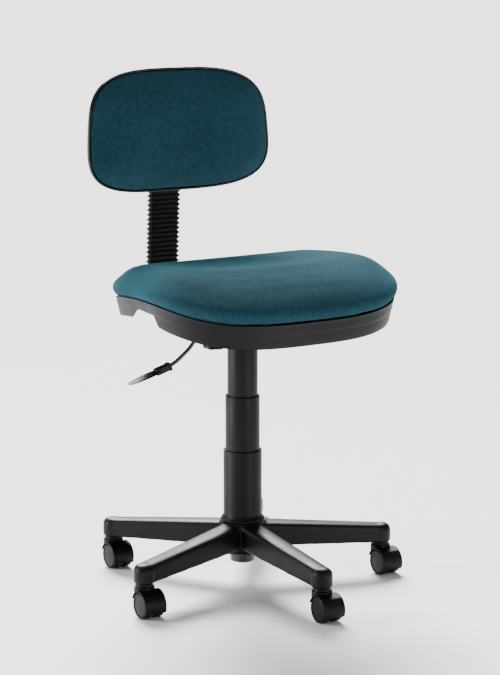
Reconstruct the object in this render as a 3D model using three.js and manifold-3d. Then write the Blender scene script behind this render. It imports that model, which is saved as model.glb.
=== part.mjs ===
// A swivel office chair with a low backrest: five-star base on twin-wheel casters, gas lift under a
// three-piece telescopic cover, seat on a steel mechanism, and a backrest carried by a flat J-bar.
// Millimetres. +Z is up, the sitter faces -Y, and the origin is on the floor under the column.

import * as THREE from 'three';
import { mergeVertices } from 'three/addons/utils/BufferGeometryUtils.js';
import Module from 'manifold-3d';

const wasm = await Module();
wasm.setup();

// ---------------------------------------------------------------- driving dimensions

const GAP = 0.3; // clearance between pieces that touch
const OVERLAP = 1; // how far a cutter or a joined lump runs past the face it meets

// Base
const ARM_COUNT = 5;
const FIRST_ARM_ANGLE = -Math.PI / 2; // one arm points straight ahead
const STEM_RADIUS = 260; // column axis to caster stem
const SOCKET_Z = 58; // underside of an arm at its tip
const TIP_TOP_Z = 91;
const TIP_RADIUS = 18.5;
const HUB_TOP_Z = 117;
const HUB_BOTTOM_Z = 56;
const HUB_RADIUS = 39;
const ARM_WIDTH_HUB = 44;
const ARM_WIDTH_TIP = 34;
const ARM_RISE = 10; // how much higher an arm's underside is at the hub than at the tip
const ARM_WALL = 4;
const ARM_RIBS = 3;
const STEM_BORE_RADIUS = 6.1;
const STEM_BORE_DEPTH = 26;

// Casters
const WHEEL_RADIUS = 23;
const WHEEL_WIDTH = 15;
const WHEEL_HALF_GAP = 5.2; // caster middle to a wheel's inner face
const TRAIL = 16.5; // stem axis to axle, measured backwards along the floor
const AXLE_RADIUS = 4;
const HOOD_RADIUS = 25.4;
const HOOD_INNER_RADIUS = 23.8;
const HOOD_HALF_WIDTH = 20.5;
const HOOD_BOTTOM_Z = 12;
const COLLAR_RADIUS = 18;
const CASTER_STEM_RADIUS = 5.5;
const CASTER_STEM_BOTTOM_Z = 45;

// Gas lift and its telescopic cover
const TUBE_RADIUS = 25;
const TUBE_WALL = 2.2;
const TUBE_FOOT_RADIUS = 22.4; // small end of the taper that wedges in the hub
const TUBE_BOTTOM_Z = 40;
const TUBE_TOP_Z = 262;
const TUBE_FLOOR = 4;
const CYLINDER_RADIUS = 14;
const CYLINDER_BOTTOM_Z = 190;
const CYLINDER_TOP_Z = 466;
const CYLINDER_CHAMBER_TOP_Z = 400;
const PISTON_ROD_RADIUS = 5;
const PISTON_ROD_TOP_Z = 268;
const PISTON_TAIL_RADIUS = 4;
const BEARING_HEIGHT = 4;
const RELEASE_PIN_RADIUS = 4;
const RELEASE_PIN_TOP_Z = 474;
const COVER_WALL = 1.5;
const COVERS = {
  lower: { radius: 34.5, bottom: HUB_TOP_Z + GAP, top: 246 },
  middle: { radius: 30.8, bottom: 222, top: 345 },
  upper: { radius: 27.2, bottom: 322, top: 459.5 },
};
const COLLAR_FLARE_RADIUS = 39.5;
const COLLAR_FLARE_HEIGHT = 10;

// Mechanism, lever and J-bar
const MECH_BOTTOM_Z = 462;
const MECH_TOP_Z = 516.6;
const MECH_SHEET = 3;
const MECH_HALF_WIDTH = 45;
const MECH_FRONT_Y = -60;
const MECH_REAR_Y = 130;
const FLANGE_HALF_X = 100;
const FLANGE_HALF_Y = 78;
const BOLT_X = 84;
const BOLT_Y = 62;
const BOLT_RADIUS = 4;
const CONE_RADIUS = 24;
const CONE_BOTTOM_Z = 440;
const LEVER_WIRE_RADIUS = 3.5;
const LEVER_REACH = -172; // where the wire ends in the paddle
const LEVER_DROP = 71.5;
const JBAR_WIDTH = 40;
const JBAR_THICKNESS = 8;
const JBAR_Z = 466.3; // underside of the flat run
const JBAR_FRONT_Y = 60;
const JBAR_BEND = 40; // inner radius of the bend
const UPRIGHT_Y = 291; // middle of the upright where it leaves the bend
const UPRIGHT_LEAN = THREE.MathUtils.degToRad(3.5); // towards the sitter, going up
const UPRIGHT_TOP_Z = 806;
const KNOB_RADIUS = 21;
const DEPTH_KNOB_Y = 101;
const DEPTH_KNOB_Z = 412;
const DEPTH_KNOB_HEIGHT = 20;
const DEPTH_STUD_RADIUS = 5;

// Seat
const SEAT_WIDTH = 442;
const SEAT_DEPTH = 403;
const SEAT_CENTRE_Y = -28;
const SEAT_FRONT_POWER = 3;
const SEAT_REAR_POWER = 4.5;
const SEAT_TAPER = 0.12; // the front is this much wider than the middle, and the rear narrower
const SEAT_CREST_Z = 541; // the rim's highest point, on each side
const SEAT_CREST = -0.25; // where it lies, from -1 at the front to 1 at the rear
const SEAT_RIM_DROP = 28; // from the crest down to the front edge and to the rear edge
const SKIRT_HEIGHT = 42; // at the front
const SKIRT_REAR_HEIGHT = 35; // behind the hand holds
const SKIRT_WALL = 2.6;
const SKIRT_DRAFT = 9; // how far the skirt leans in at its bottom edge
const SHELL_FLOOR_Z = 514;
const LEDGE_DROP = 17.2; // the floor's edge is raised to this far below the rim, above the hand holds
const LEDGE_INSET = 24; // from the rim in to where the raised edge ends
const FLOOR_INSET = 30; // from the rim in to where the floor is flat
const HOLD_FRONT_Y = -78; // a hand hold is cut out of each side of the skirt
const HOLD_REAR_Y = -12;
const HOLD_TOP_Z = 521;
const HOLD_INNER_X = 205;
const BAR_GATE_HALF_WIDTH = 125;
const BAR_GATE_FRONT_Y = 93;
const BOARD_THICKNESS = 10;
const BOARD_INSET = 32;
const CUSHION_RISE = 45; // top of the cushion above the rim
const CUSHION_DISH = 12;
const CUSHION_OVERHANG = 8;

// Backrest
const BACK_WIDTH = 377;
const BACK_HEIGHT = 226;
const BACK_Y = 247; // rim at the middle
const BACK_Z = 799;
const BACK_CORNER_POWER = 3.4;
const BACK_TAPER = 0.045; // the bottom is this much wider than the middle, and the top narrower
const BACK_CURVE = 1 / 625; // horizontal curvature, hollow towards the sitter
const BACK_SHELL_DEPTH = 11;
const BACK_SHELL_WALL = 3;
const BACK_BOARD_THICKNESS = 5;
const BACK_CUSHION_DEPTH = 28;
const SKIN_GAP = 0.6; // between curved faces, whose facets don't quite match
const BACK_TILT = THREE.MathUtils.degToRad(-1);
const SLEEVE_Z = 772;
const SLEEVE_HALF_WIDTH = 26;
const SLEEVE_HALF_HEIGHT = 24;
const SLEEVE_FRONT = -7.3; // measured from the middle of the upright
const SLEEVE_REAR = 14;
const TILT_PIN_DEPTH = 9.4;
const TILT_PIN_HEIGHT = 13;
const TILT_PIN_RADIUS = 3.5;
const HEIGHT_STUD_DROP = 9;
const HEIGHT_STUD_RADIUS = 4;
const HEIGHT_KNOB_DEPTH = 18;
const LUG_INNER_X = 27; // the hinge plate's lugs stand this far out on each side of the sleeve
const LUG_SHEET = 3;
const LUG_RADIUS = 8;
const PLATE_HALF_WIDTH = 46;
const PLATE_HALF_HEIGHT = 19;
const PLATE_SHEET = 2.5;
const PLATE_STANDOFF = 1.5; // clear of the shell's curved rear face
const SCREW_X = 38;
const SCREW_RADIUS = 2.5;
const BELLOWS_BOTTOM_Z = 526;
const BELLOWS_FOLDS = 25;
const BELLOWS_HALF_WIDTH = 31.5;
const BELLOWS_HALF_DEPTH = 11;
const FOLD_DEPTH = 4;

// ---------------------------------------------------------------- finishes

const finish = (color, roughness, metalness = 0) => () =>
  new THREE.MeshStandardMaterial({ color, roughness, metalness });
const blackPlastic = finish(0x1b1b1d, 0.55);
const glossyPlastic = finish(0x141416, 0.25);
const blackSteel = finish(0x151515, 0.45, 0.6);
const brightSteel = finish(0xb8bcc0, 0.3, 1);
const plywood = finish(0xc49a66, 0.8);
const tealFabric = finish(0x1f6470, 0.95);
const bushPlastic = finish(0xe4e2da, 0.5);

// ---------------------------------------------------------------- solids

// Turns a closed geometry into a solid that can be joined and cut.
function solid(geometry) {
  const bare = geometry.clone();
  bare.deleteAttribute('normal');
  bare.deleteAttribute('uv');
  const merged = mergeVertices(bare, 1e-4);
  return new wasm.Manifold(new wasm.Mesh({
    numProp: 3,
    vertProperties: new Float32Array(merged.getAttribute('position').array),
    triVerts: new Uint32Array(merged.index.array),
  }));
}

function geometryOf(body) {
  const mesh = body.getMesh();
  const geometry = new THREE.BufferGeometry();
  geometry.setAttribute('position', new THREE.BufferAttribute(new Float32Array(mesh.vertProperties), 3));
  geometry.setIndex(new THREE.BufferAttribute(new Uint32Array(mesh.triVerts), 1));
  geometry.computeVertexNormals();
  return geometry;
}

const join = (...bodies) => bodies.reduce((whole, body) => whole.add(body));
const cut = (body, ...tools) => tools.reduce((rest, tool) => rest.subtract(tool), body);

function block(x0, x1, y0, y1, z0, z1) {
  const geometry = new THREE.BoxGeometry(x1 - x0, y1 - y0, z1 - z0);
  return geometry.translate((x0 + x1) / 2, (y0 + y1) / 2, (z0 + z1) / 2);
}

// A solid of revolution about Z. The profile is [radius, height] pairs that start and end on the
// axis, or that go once around a ring, outer side first.
function turned(profile, segments = 24) {
  const points = profile.map(([radius, height]) => new THREE.Vector2(radius, height));
  if (profile[0][0] > 0) points.push(points[0].clone());
  return new THREE.LatheGeometry(points, segments).rotateX(Math.PI / 2);
}

const disc = (radius, z0, z1, segments = 24) =>
  turned([[0, z0], [radius, z0], [radius, z1], [0, z1]], segments);

const ring = (outer, inner, z0, z1, segments = 24) =>
  turned([[outer, z0], [outer, z1], [inner, z1], [inner, z0]], segments);

// The same, with its axis along X, centred on (y, z).
const acrossX = (geometry, y, z) => geometry.rotateY(Math.PI / 2).translate(0, y, z);

// The same, with its axis along Y, centred on (x, z).
const alongY = (geometry, x, z) => geometry.rotateX(-Math.PI / 2).translate(x, 0, z);

// Skins a row of equal closed loops into one body. Open rows get a flat fan over each end.
function loft(loops, endless = false) {
  const count = loops[0].length;
  const positions = loops.flat().flatMap((point) => [point.x, point.y, point.z]);
  const index = [];
  const rows = endless ? loops.length : loops.length - 1;
  for (let row = 0; row < rows; row += 1) {
    const next = (row + 1) % loops.length;
    for (let i = 0; i < count; i += 1) {
      const j = (i + 1) % count;
      const [a, b, c, d] = [row * count + i, row * count + j, next * count + j, next * count + i];
      index.push(a, b, c, a, c, d);
    }
  }
  if (!endless) {
    for (const [row, flip] of [[0, true], [loops.length - 1, false]]) {
      const middle = new THREE.Vector3();
      for (const point of loops[row]) middle.addScaledVector(point, 1 / count);
      const tip = positions.length / 3;
      positions.push(middle.x, middle.y, middle.z);
      for (let i = 0; i < count; i += 1) {
        const [a, b] = [row * count + i, row * count + ((i + 1) % count)];
        index.push(...(flip ? [b, a, tip] : [a, b, tip]));
      }
    }
  }
  const geometry = new THREE.BufferGeometry();
  geometry.setAttribute('position', new THREE.Float32BufferAttribute(positions, 3));
  geometry.setIndex(index);
  geometry.computeVertexNormals();
  return geometry;
}

// Extrudes an outline of [y, z] pairs along X.
function sideExtrusion(outline, x, width) {
  const shape = new THREE.Shape(outline.map(([y, z]) => new THREE.Vector2(y, z)));
  const toFrame = new THREE.Matrix4().makeBasis(
    new THREE.Vector3(0, 1, 0), new THREE.Vector3(0, 0, 1), new THREE.Vector3(1, 0, 0));
  return new THREE.ExtrudeGeometry(shape, { depth: width, bevelEnabled: false })
    .applyMatrix4(toFrame).translate(x, 0, 0);
}

// A superellipse, counter-clockwise: [x, y] pairs with equal steps of its parameter.
function superellipse(halfX, halfY, power, count) {
  const points = [];
  for (let i = 0; i < count; i += 1) {
    const angle = ((i + 0.5) / count) * 2 * Math.PI;
    const [c, s] = [Math.cos(angle), Math.sin(angle)];
    const x = Math.sign(c) * Math.abs(c) ** (2 / power) * halfX;
    const y = Math.sign(s) * Math.abs(s) ** (2 / power) * halfY;
    points.push([x, y]);
  }
  return points;
}

const chair = new THREE.Group();

function place(name, geometry, material, parent = chair) {
  const mesh = new THREE.Mesh(geometry, material());
  mesh.name = name;
  parent.add(mesh);
  return mesh;
}

// ---------------------------------------------------------------- star base

const tubeRadiusAt = (z) =>
  THREE.MathUtils.mapLinear(z, TUBE_BOTTOM_Z, HUB_TOP_Z, TUBE_FOOT_RADIUS, TUBE_RADIUS);

const armHalfWidth = (r) =>
  THREE.MathUtils.mapLinear(r, HUB_RADIUS, STEM_RADIUS, ARM_WIDTH_HUB, ARM_WIDTH_TIP) / 2;
const armTop = (r) => THREE.MathUtils.mapLinear(r, HUB_RADIUS, STEM_RADIUS, HUB_TOP_Z - 5, TIP_TOP_Z);
const armFloor = (r) => THREE.MathUtils.mapLinear(r, HUB_RADIUS, STEM_RADIUS, SOCKET_Z + ARM_RISE, SOCKET_Z);

// One arm lies along +X, with rounded top edges. A positive inset gives the hollow inside it.
function armBody(inset) {
  const start = inset ? HUB_RADIUS - 6 : 0;
  const end = inset ? STEM_RADIUS - TIP_RADIUS - 2 : STEM_RADIUS;
  const round = inset ? 3 : 12;
  const section = (r) => {
    const halfWidth = armHalfWidth(r) - inset;
    const top = armTop(r) - inset;
    const floor = armFloor(r) - (inset ? OVERLAP : 0);
    const shoulder = (inset ? [90, 0] : [90, 60, 30, 0]).map((degrees) => {
      const angle = THREE.MathUtils.degToRad(degrees);
      return [halfWidth - round * (1 - Math.sin(angle)), top - round * (1 - Math.cos(angle))];
    });
    const right = [[halfWidth, floor], ...shoulder];
    const left = right.map(([y, z]) => [-y, z]).reverse();
    return [...right, ...left].map(([y, z]) => new THREE.Vector3(r, y, z));
  };
  return solid(loft([section(start), section(end)]));
}

function armTip() {
  const fillet = 12;
  const profile = [[0, SOCKET_Z], [TIP_RADIUS, SOCKET_Z]];
  for (const turn of [0, 1 / 3, 2 / 3, 1]) {
    const angle = turn * (Math.PI / 2);
    profile.push([
      TIP_RADIUS - fillet * (1 - Math.cos(angle)),
      TIP_TOP_Z - fillet * (1 - Math.sin(angle)),
    ]);
  }
  profile.push([0, TIP_TOP_Z + 0.5]);
  return solid(turned(profile, 16).translate(STEM_RADIUS, 0, 0));
}

function armRibs() {
  const first = HUB_RADIUS + 38;
  const pitch = (STEM_RADIUS - TIP_RADIUS - first) / ARM_RIBS;
  return Array.from({ length: ARM_RIBS }, (_, i) => {
    const x = first + i * pitch;
    const halfWidth = armHalfWidth(x) - ARM_WALL / 2;
    return solid(block(x, x + 2.5, -halfWidth, halfWidth, armFloor(x) + 6, armTop(x) - ARM_WALL / 2));
  });
}

function starBase() {
  const arm = join(cut(armBody(0), armBody(ARM_WALL)), ...armRibs(), armTip());
  const socket = solid(
    disc(STEM_BORE_RADIUS, SOCKET_Z - OVERLAP, SOCKET_Z + STEM_BORE_DEPTH, 12).translate(STEM_RADIUS, 0, 0));
  const drilled = cut(arm, socket);
  const arms = Array.from({ length: ARM_COUNT }, (_, i) =>
    drilled.rotate([0, 0, THREE.MathUtils.radToDeg(FIRST_ARM_ANGLE) + (i * 360) / ARM_COUNT]));
  const hub = solid(turned([
    [0, HUB_BOTTOM_Z], [HUB_RADIUS - 4, HUB_BOTTOM_Z], [HUB_RADIUS, HUB_BOTTOM_Z + 6],
    [HUB_RADIUS, HUB_TOP_Z - 3], [HUB_RADIUS - 3, HUB_TOP_Z], [0, HUB_TOP_Z],
  ], 20));
  const bore = solid(turned([
    [0, TUBE_BOTTOM_Z], [tubeRadiusAt(TUBE_BOTTOM_Z) + GAP, TUBE_BOTTOM_Z],
    [tubeRadiusAt(HUB_TOP_Z + OVERLAP) + GAP, HUB_TOP_Z + OVERLAP], [0, HUB_TOP_Z + OVERLAP],
  ], 24));
  return cut(join(...arms, hub), bore);
}

place('star_base', geometryOf(starBase()), blackPlastic);

// ---------------------------------------------------------------- casters

const AXLE_Y = -TRAIL;
const AXLE_Z = WHEEL_RADIUS;

function casterHood() {
  const span = 2 * HOOD_HALF_WIDTH;
  const drum = solid(acrossX(disc(HOOD_RADIUS, -span / 2, span / 2, 20), AXLE_Y, AXLE_Z));
  const hollow = solid(acrossX(disc(HOOD_INNER_RADIUS, -span, span, 20), AXLE_Y, AXLE_Z));
  const web = solid(block(
    -WHEEL_HALF_GAP + 0.7, WHEEL_HALF_GAP - 0.7,
    AXLE_Y - HOOD_RADIUS, COLLAR_RADIUS, HOOD_BOTTOM_Z, SOCKET_Z - 1));
  const collar = solid(disc(COLLAR_RADIUS, AXLE_Z + 8, SOCKET_Z - 0.6, 18));
  const fender = cut(
    drum.add(collar), hollow,
    solid(block(-span, span, AXLE_Y + 6, COLLAR_RADIUS + 20, 0, AXLE_Z + 8)),
    solid(block(-span, span, -100, 100, -10, HOOD_BOTTOM_Z)));
  const lobe = solid(acrossX(disc(HOOD_RADIUS - 0.4, -span, span, 16), AXLE_Y, AXLE_Z));
  const spine = web.intersect(lobe.add(solid(disc(COLLAR_RADIUS - 0.4, AXLE_Z, SOCKET_Z, 16))));
  const axleBore = solid(acrossX(disc(AXLE_RADIUS + GAP, -span, span, 10), AXLE_Y, AXLE_Z));
  const stemBore = solid(disc(CASTER_STEM_RADIUS + GAP, CASTER_STEM_BOTTOM_Z - GAP, SOCKET_Z + 4, 12));
  return cut(fender.add(spine), axleBore, stemBore);
}

function casterWheel() {
  const w = WHEEL_WIDTH;
  const rim = WHEEL_RADIUS;
  const boreDepth = w - 5;
  return turned([
    [0, boreDepth], [AXLE_RADIUS + GAP, boreDepth], [AXLE_RADIUS + GAP, 0], [rim - 1.5, 0],
    [rim, 1.5], [rim, w - 2.5], [rim - 2, w], [rim - 4, w], [rim - 6, w - 2], [0, w - 1.2],
  ], 20);
}

function casterStem() {
  const r = CASTER_STEM_RADIUS;
  const top = SOCKET_Z + STEM_BORE_DEPTH - 1;
  return turned([
    [0, CASTER_STEM_BOTTOM_Z], [r, CASTER_STEM_BOTTOM_Z], [r, top - 6], [r - 1, top - 5],
    [r - 1, top - 3], [r - 2, top], [0, top],
  ], 12);
}

const hoodGeometry = geometryOf(casterHood());
const wheelGeometry = casterWheel();
const stemGeometry = casterStem();
const axleLength = 2 * (WHEEL_HALF_GAP + WHEEL_WIDTH - 5) - 2 * GAP;

for (let i = 0; i < ARM_COUNT; i += 1) {
  const angle = FIRST_ARM_ANGLE + (i * 2 * Math.PI) / ARM_COUNT;
  const caster = new THREE.Group();
  caster.position.set(STEM_RADIUS * Math.cos(angle), STEM_RADIUS * Math.sin(angle), 0);
  chair.add(caster);
  const tag = `caster_${i + 1}`;
  place(`${tag}_stem`, stemGeometry, brightSteel, caster);
  place(`${tag}_hood`, hoodGeometry, blackPlastic, caster);
  place(`${tag}_axle`, acrossX(disc(AXLE_RADIUS, -axleLength / 2, axleLength / 2, 10), AXLE_Y, AXLE_Z),
    brightSteel, caster);
  for (const [side, sign] of [['right', -1], ['left', 1]]) {
    const wheel = place(`${tag}_wheel_${side}`, wheelGeometry, blackPlastic, caster);
    wheel.rotation.y = sign * (Math.PI / 2);
    wheel.position.set(sign * WHEEL_HALF_GAP, AXLE_Y, AXLE_Z);
  }
}

// ---------------------------------------------------------------- gas lift

const tubeFloorZ = TUBE_BOTTOM_Z + TUBE_FLOOR;
const bearingTopZ = tubeFloorZ + GAP + BEARING_HEIGHT;

place('lift_outer_tube', turned([
  [TUBE_FOOT_RADIUS - 1, TUBE_BOTTOM_Z], [TUBE_FOOT_RADIUS, TUBE_BOTTOM_Z + 1],
  [TUBE_RADIUS, HUB_TOP_Z], [TUBE_RADIUS, TUBE_TOP_Z], [TUBE_RADIUS - TUBE_WALL, TUBE_TOP_Z],
  [TUBE_RADIUS - TUBE_WALL, HUB_TOP_Z], [TUBE_FOOT_RADIUS - TUBE_WALL, tubeFloorZ],
  [PISTON_TAIL_RADIUS + GAP, tubeFloorZ], [PISTON_TAIL_RADIUS + GAP, TUBE_BOTTOM_Z],
], 24), blackSteel);

place('lift_guide_bush', turned([
  [TUBE_RADIUS - TUBE_WALL - GAP, TUBE_TOP_Z - 75], [TUBE_RADIUS - TUBE_WALL - GAP, TUBE_TOP_Z + GAP],
  [TUBE_RADIUS - 0.5, TUBE_TOP_Z + GAP], [TUBE_RADIUS - 0.5, TUBE_TOP_Z + 3],
  [CYLINDER_RADIUS + GAP, TUBE_TOP_Z + 3], [CYLINDER_RADIUS + GAP, TUBE_TOP_Z - 75],
]), bushPlastic);

place('lift_thrust_bearing',
  ring(13, PISTON_TAIL_RADIUS + GAP, tubeFloorZ + GAP, bearingTopZ, 20), brightSteel);

place('lift_piston_rod', turned([
  [0, TUBE_BOTTOM_Z - 6], [PISTON_TAIL_RADIUS, TUBE_BOTTOM_Z - 6], [PISTON_TAIL_RADIUS, bearingTopZ + GAP],
  [PISTON_ROD_RADIUS, bearingTopZ + GAP], [PISTON_ROD_RADIUS, PISTON_ROD_TOP_Z], [0, PISTON_ROD_TOP_Z],
], 16), brightSteel);

place('lift_retaining_clip',
  ring(9, PISTON_TAIL_RADIUS + GAP, TUBE_BOTTOM_Z - 3, TUBE_BOTTOM_Z - GAP, 16), brightSteel);

place('lift_cylinder', turned([
  [CYLINDER_RADIUS - 1, CYLINDER_BOTTOM_Z], [CYLINDER_RADIUS, CYLINDER_BOTTOM_Z + 1],
  [CYLINDER_RADIUS, CONE_BOTTOM_Z], [CYLINDER_RADIUS - 0.8, CYLINDER_TOP_Z],
  [RELEASE_PIN_RADIUS + GAP, CYLINDER_TOP_Z], [RELEASE_PIN_RADIUS + GAP, CYLINDER_CHAMBER_TOP_Z],
  [PISTON_ROD_RADIUS + GAP, CYLINDER_CHAMBER_TOP_Z], [PISTON_ROD_RADIUS + GAP, CYLINDER_BOTTOM_Z],
], 20), blackSteel);

place('lift_release_pin',
  disc(RELEASE_PIN_RADIUS, CYLINDER_TOP_Z - 22, RELEASE_PIN_TOP_Z, 14), brightSteel);

// ---------------------------------------------------------------- telescopic cover

// Each sleeve has a lip turned in at its top, so that the next one in can't pull right out.
function sleeve({ radius, bottom, top }, foot = []) {
  const inner = radius - COVER_WALL;
  const lip = inner - 1;
  return turned([
    ...(foot.length ? foot : [[radius, bottom]]),
    [radius, top - 1], [radius - 1, top], [lip, top], [lip, top - 3], [inner, top - 4], [inner, bottom],
  ], 24);
}

const { lower, middle, upper } = COVERS;
place('cover_lower', sleeve(lower, [
  [COLLAR_FLARE_RADIUS, lower.bottom], [COLLAR_FLARE_RADIUS, lower.bottom + 4],
  [lower.radius, lower.bottom + COLLAR_FLARE_HEIGHT],
]), blackPlastic);
place('cover_middle', sleeve(middle), blackPlastic);
place('cover_upper', turned([
  [upper.radius, upper.bottom], [upper.radius, upper.top],
  [upper.radius - COVER_WALL, upper.top], [upper.radius - COVER_WALL, upper.bottom],
], 24), blackPlastic);

// ---------------------------------------------------------------- mechanism

function mechanismPlate() {
  const s = MECH_SHEET;
  const w = MECH_HALF_WIDTH;
  const channel = solid(block(-w, w, MECH_FRONT_Y, MECH_REAR_Y, MECH_BOTTOM_Z, MECH_TOP_Z));
  const flange = solid(block(-FLANGE_HALF_X, FLANGE_HALF_X, -FLANGE_HALF_Y, FLANGE_HALF_Y,
    MECH_TOP_Z - s, MECH_TOP_Z));
  const inside = solid(block(-w + s, w - s, MECH_FRONT_Y + s, MECH_REAR_Y - s,
    MECH_BOTTOM_Z + s, MECH_TOP_Z + OVERLAP));
  const cone = solid(disc(CONE_RADIUS, CONE_BOTTOM_Z, MECH_BOTTOM_Z + 8, 24));
  const coneBore = solid(disc(CYLINDER_RADIUS + GAP, CONE_BOTTOM_Z - OVERLAP, MECH_BOTTOM_Z + 9, 20));
  const nut = solid(disc(10, MECH_BOTTOM_Z - 12, MECH_BOTTOM_Z + OVERLAP, 6).translate(0, DEPTH_KNOB_Y, 0));
  const nutBore = solid(
    disc(DEPTH_STUD_RADIUS + GAP, MECH_BOTTOM_Z - 20, MECH_BOTTOM_Z + 20, 14).translate(0, DEPTH_KNOB_Y, 0));
  const barSlot = solid(block(-JBAR_WIDTH / 2 - 0.5, JBAR_WIDTH / 2 + 0.5, MECH_REAR_Y - 20, MECH_REAR_Y + 9,
    MECH_BOTTOM_Z + s, JBAR_Z + JBAR_THICKNESS + 0.5));
  const leverSlot = solid(block(-w - 9, -w + 9, -6, 6, 466, 490));
  const holes = [-BOLT_X, BOLT_X].flatMap((x) => [-BOLT_Y, BOLT_Y].map((y) =>
    solid(disc(BOLT_RADIUS + GAP, MECH_TOP_Z - 20, MECH_TOP_Z + 20, 14).translate(x, y, 0))));
  return cut(join(cut(join(channel, flange), inside), cone, nut),
    coneBore, nutBore, barSlot, leverSlot, ...holes);
}

place('mechanism_plate', geometryOf(mechanismPlate()), blackSteel);

// ---------------------------------------------------------------- lift lever

// A path of straight runs through the given corners, each corner rounded off.
function bentPath(corners, trim) {
  const path = new THREE.CurvePath();
  let from = corners[0];
  for (let i = 1; i < corners.length - 1; i += 1) {
    const corner = corners[i];
    const before = corner.clone().lerp(corners[i - 1], trim / corner.distanceTo(corners[i - 1]));
    const after = corner.clone().lerp(corners[i + 1], trim / corner.distanceTo(corners[i + 1]));
    path.add(new THREE.LineCurve3(from, before));
    path.add(new THREE.QuadraticBezierCurve3(before, corner, after));
    from = after;
  }
  path.add(new THREE.LineCurve3(from, corners.at(-1)));
  return path;
}

const LEVER_Z = RELEASE_PIN_TOP_Z + GAP + LEVER_WIRE_RADIUS;
const leverCorners = [
  new THREE.Vector3(14, 0, LEVER_Z),
  new THREE.Vector3(-86, 0, LEVER_Z),
  new THREE.Vector3(-102, 0, LEVER_Z - 34),
  new THREE.Vector3(-140, 0, LEVER_Z - 62),
  new THREE.Vector3(LEVER_REACH, 0, LEVER_Z - LEVER_DROP),
];
const leverRoute = bentPath(leverCorners, 10);

function roundShape(radius, sides) {
  const shape = new THREE.Shape();
  for (let i = 0; i < sides; i += 1) {
    const angle = (i / sides) * 2 * Math.PI;
    const method = i ? 'lineTo' : 'moveTo';
    shape[method](radius * Math.cos(angle), radius * Math.sin(angle));
  }
  return shape;
}

place('lever_rod', new THREE.ExtrudeGeometry(roundShape(LEVER_WIRE_RADIUS, 8),
  { steps: 22, bevelEnabled: false, extrudePath: leverRoute }), blackSteel);

// The paddle is drawn along -X from the end of the wire, with the wire's socket behind it.
function leverPaddle() {
  const socketLength = 24;
  const bladeLength = 60;
  const halfWidth = 13;
  const blade = new THREE.Shape();
  blade.moveTo(4, -halfWidth * 0.6);
  blade.lineTo(-10, -halfWidth);
  blade.lineTo(-bladeLength + 14, -halfWidth * 0.85);
  blade.quadraticCurveTo(-bladeLength, -halfWidth * 0.7, -bladeLength, 0);
  blade.quadraticCurveTo(-bladeLength, halfWidth * 0.7, -bladeLength + 14, halfWidth * 0.85);
  blade.lineTo(-10, halfWidth);
  blade.lineTo(4, halfWidth * 0.6);
  blade.closePath();
  const plate = new THREE.ExtrudeGeometry(blade, { depth: 4, bevelEnabled: false, curveSegments: 5 });
  const socket = block(-6, socketLength, -7, 7, -6, 6);
  const bore = disc(LEVER_WIRE_RADIUS + GAP, -GAP, socketLength + 5, 12).rotateY(Math.PI / 2);
  return cut(solid(plate.translate(0, 0, -2)).add(solid(socket)), solid(bore));
}

const leverDirection = leverCorners.at(-1).clone().sub(leverCorners.at(-2)).normalize();
const paddle = place('lever_paddle', geometryOf(leverPaddle()), blackPlastic);
paddle.rotation.y = Math.atan2(leverDirection.z, -leverDirection.x);
paddle.position.copy(leverCorners.at(-1));

// ---------------------------------------------------------------- knobs

// A five-lobed knob with its flat seat at height 0 and its grip above.
function knob(height, threadRadius) {
  const lobes = 5;
  const steps = 25;
  const section = (scale, z) => Array.from({ length: steps }, (_, i) => {
    const angle = (i / steps) * 2 * Math.PI;
    const radius = (KNOB_RADIUS - 2 + 2 * Math.cos(lobes * angle)) * scale;
    return new THREE.Vector3(radius * Math.cos(angle), radius * Math.sin(angle), z);
  });
  const grip = loft([section(0.9, 4), section(1, 6), section(1, height - 3), section(0.86, height)]);
  return cut(join(solid(grip), solid(disc(11, 0, 6, 18))),
    solid(disc(threadRadius + GAP, -1, height - 6, 14)));
}

const depthKnob = place('depth_knob', geometryOf(knob(DEPTH_KNOB_HEIGHT, DEPTH_STUD_RADIUS)), blackPlastic);
depthKnob.rotation.x = Math.PI;
depthKnob.position.set(0, DEPTH_KNOB_Y, DEPTH_KNOB_Z + DEPTH_KNOB_HEIGHT);
const depthStudEnd = DEPTH_KNOB_Z + DEPTH_KNOB_HEIGHT - 13.5;
place('depth_stud', disc(DEPTH_STUD_RADIUS, depthStudEnd, JBAR_Z - GAP, 14).translate(0, DEPTH_KNOB_Y, 0),
  brightSteel);

// ---------------------------------------------------------------- J-bar

// A flat bar that runs back under the seat, bends up and stands a little towards the sitter.
function jBar() {
  const t = JBAR_THICKNESS;
  const bend = JBAR_BEND;
  const sweep = Math.PI / 2 + UPRIGHT_LEAN;
  const centreY = UPRIGHT_Y + t / 2 - bend - t;
  const centreZ = JBAR_Z + t + bend;
  const arc = (radius, backwards) => Array.from({ length: 9 }, (_, i) => {
    const angle = (backwards ? 1 - i / 8 : i / 8) * sweep;
    return new THREE.Vector2(centreY + radius * Math.sin(angle), centreZ - radius * Math.cos(angle));
  });
  const outer = arc(bend + t, false);
  const inner = arc(bend, true);
  const rise = new THREE.Vector2(-Math.sin(UPRIGHT_LEAN), Math.cos(UPRIGHT_LEAN));
  const length = (UPRIGHT_TOP_Z - outer[8].y) / rise.y;
  const outline = [
    new THREE.Vector2(JBAR_FRONT_Y, JBAR_Z), ...outer,
    outer[8].clone().addScaledVector(rise, length), inner[0].clone().addScaledVector(rise, length),
    ...inner, new THREE.Vector2(JBAR_FRONT_Y, JBAR_Z + t),
  ];
  return sideExtrusion(outline.map((point) => [point.x, point.y]), -JBAR_WIDTH / 2, JBAR_WIDTH);
}

place('j_bar', jBar(), blackSteel);

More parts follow.
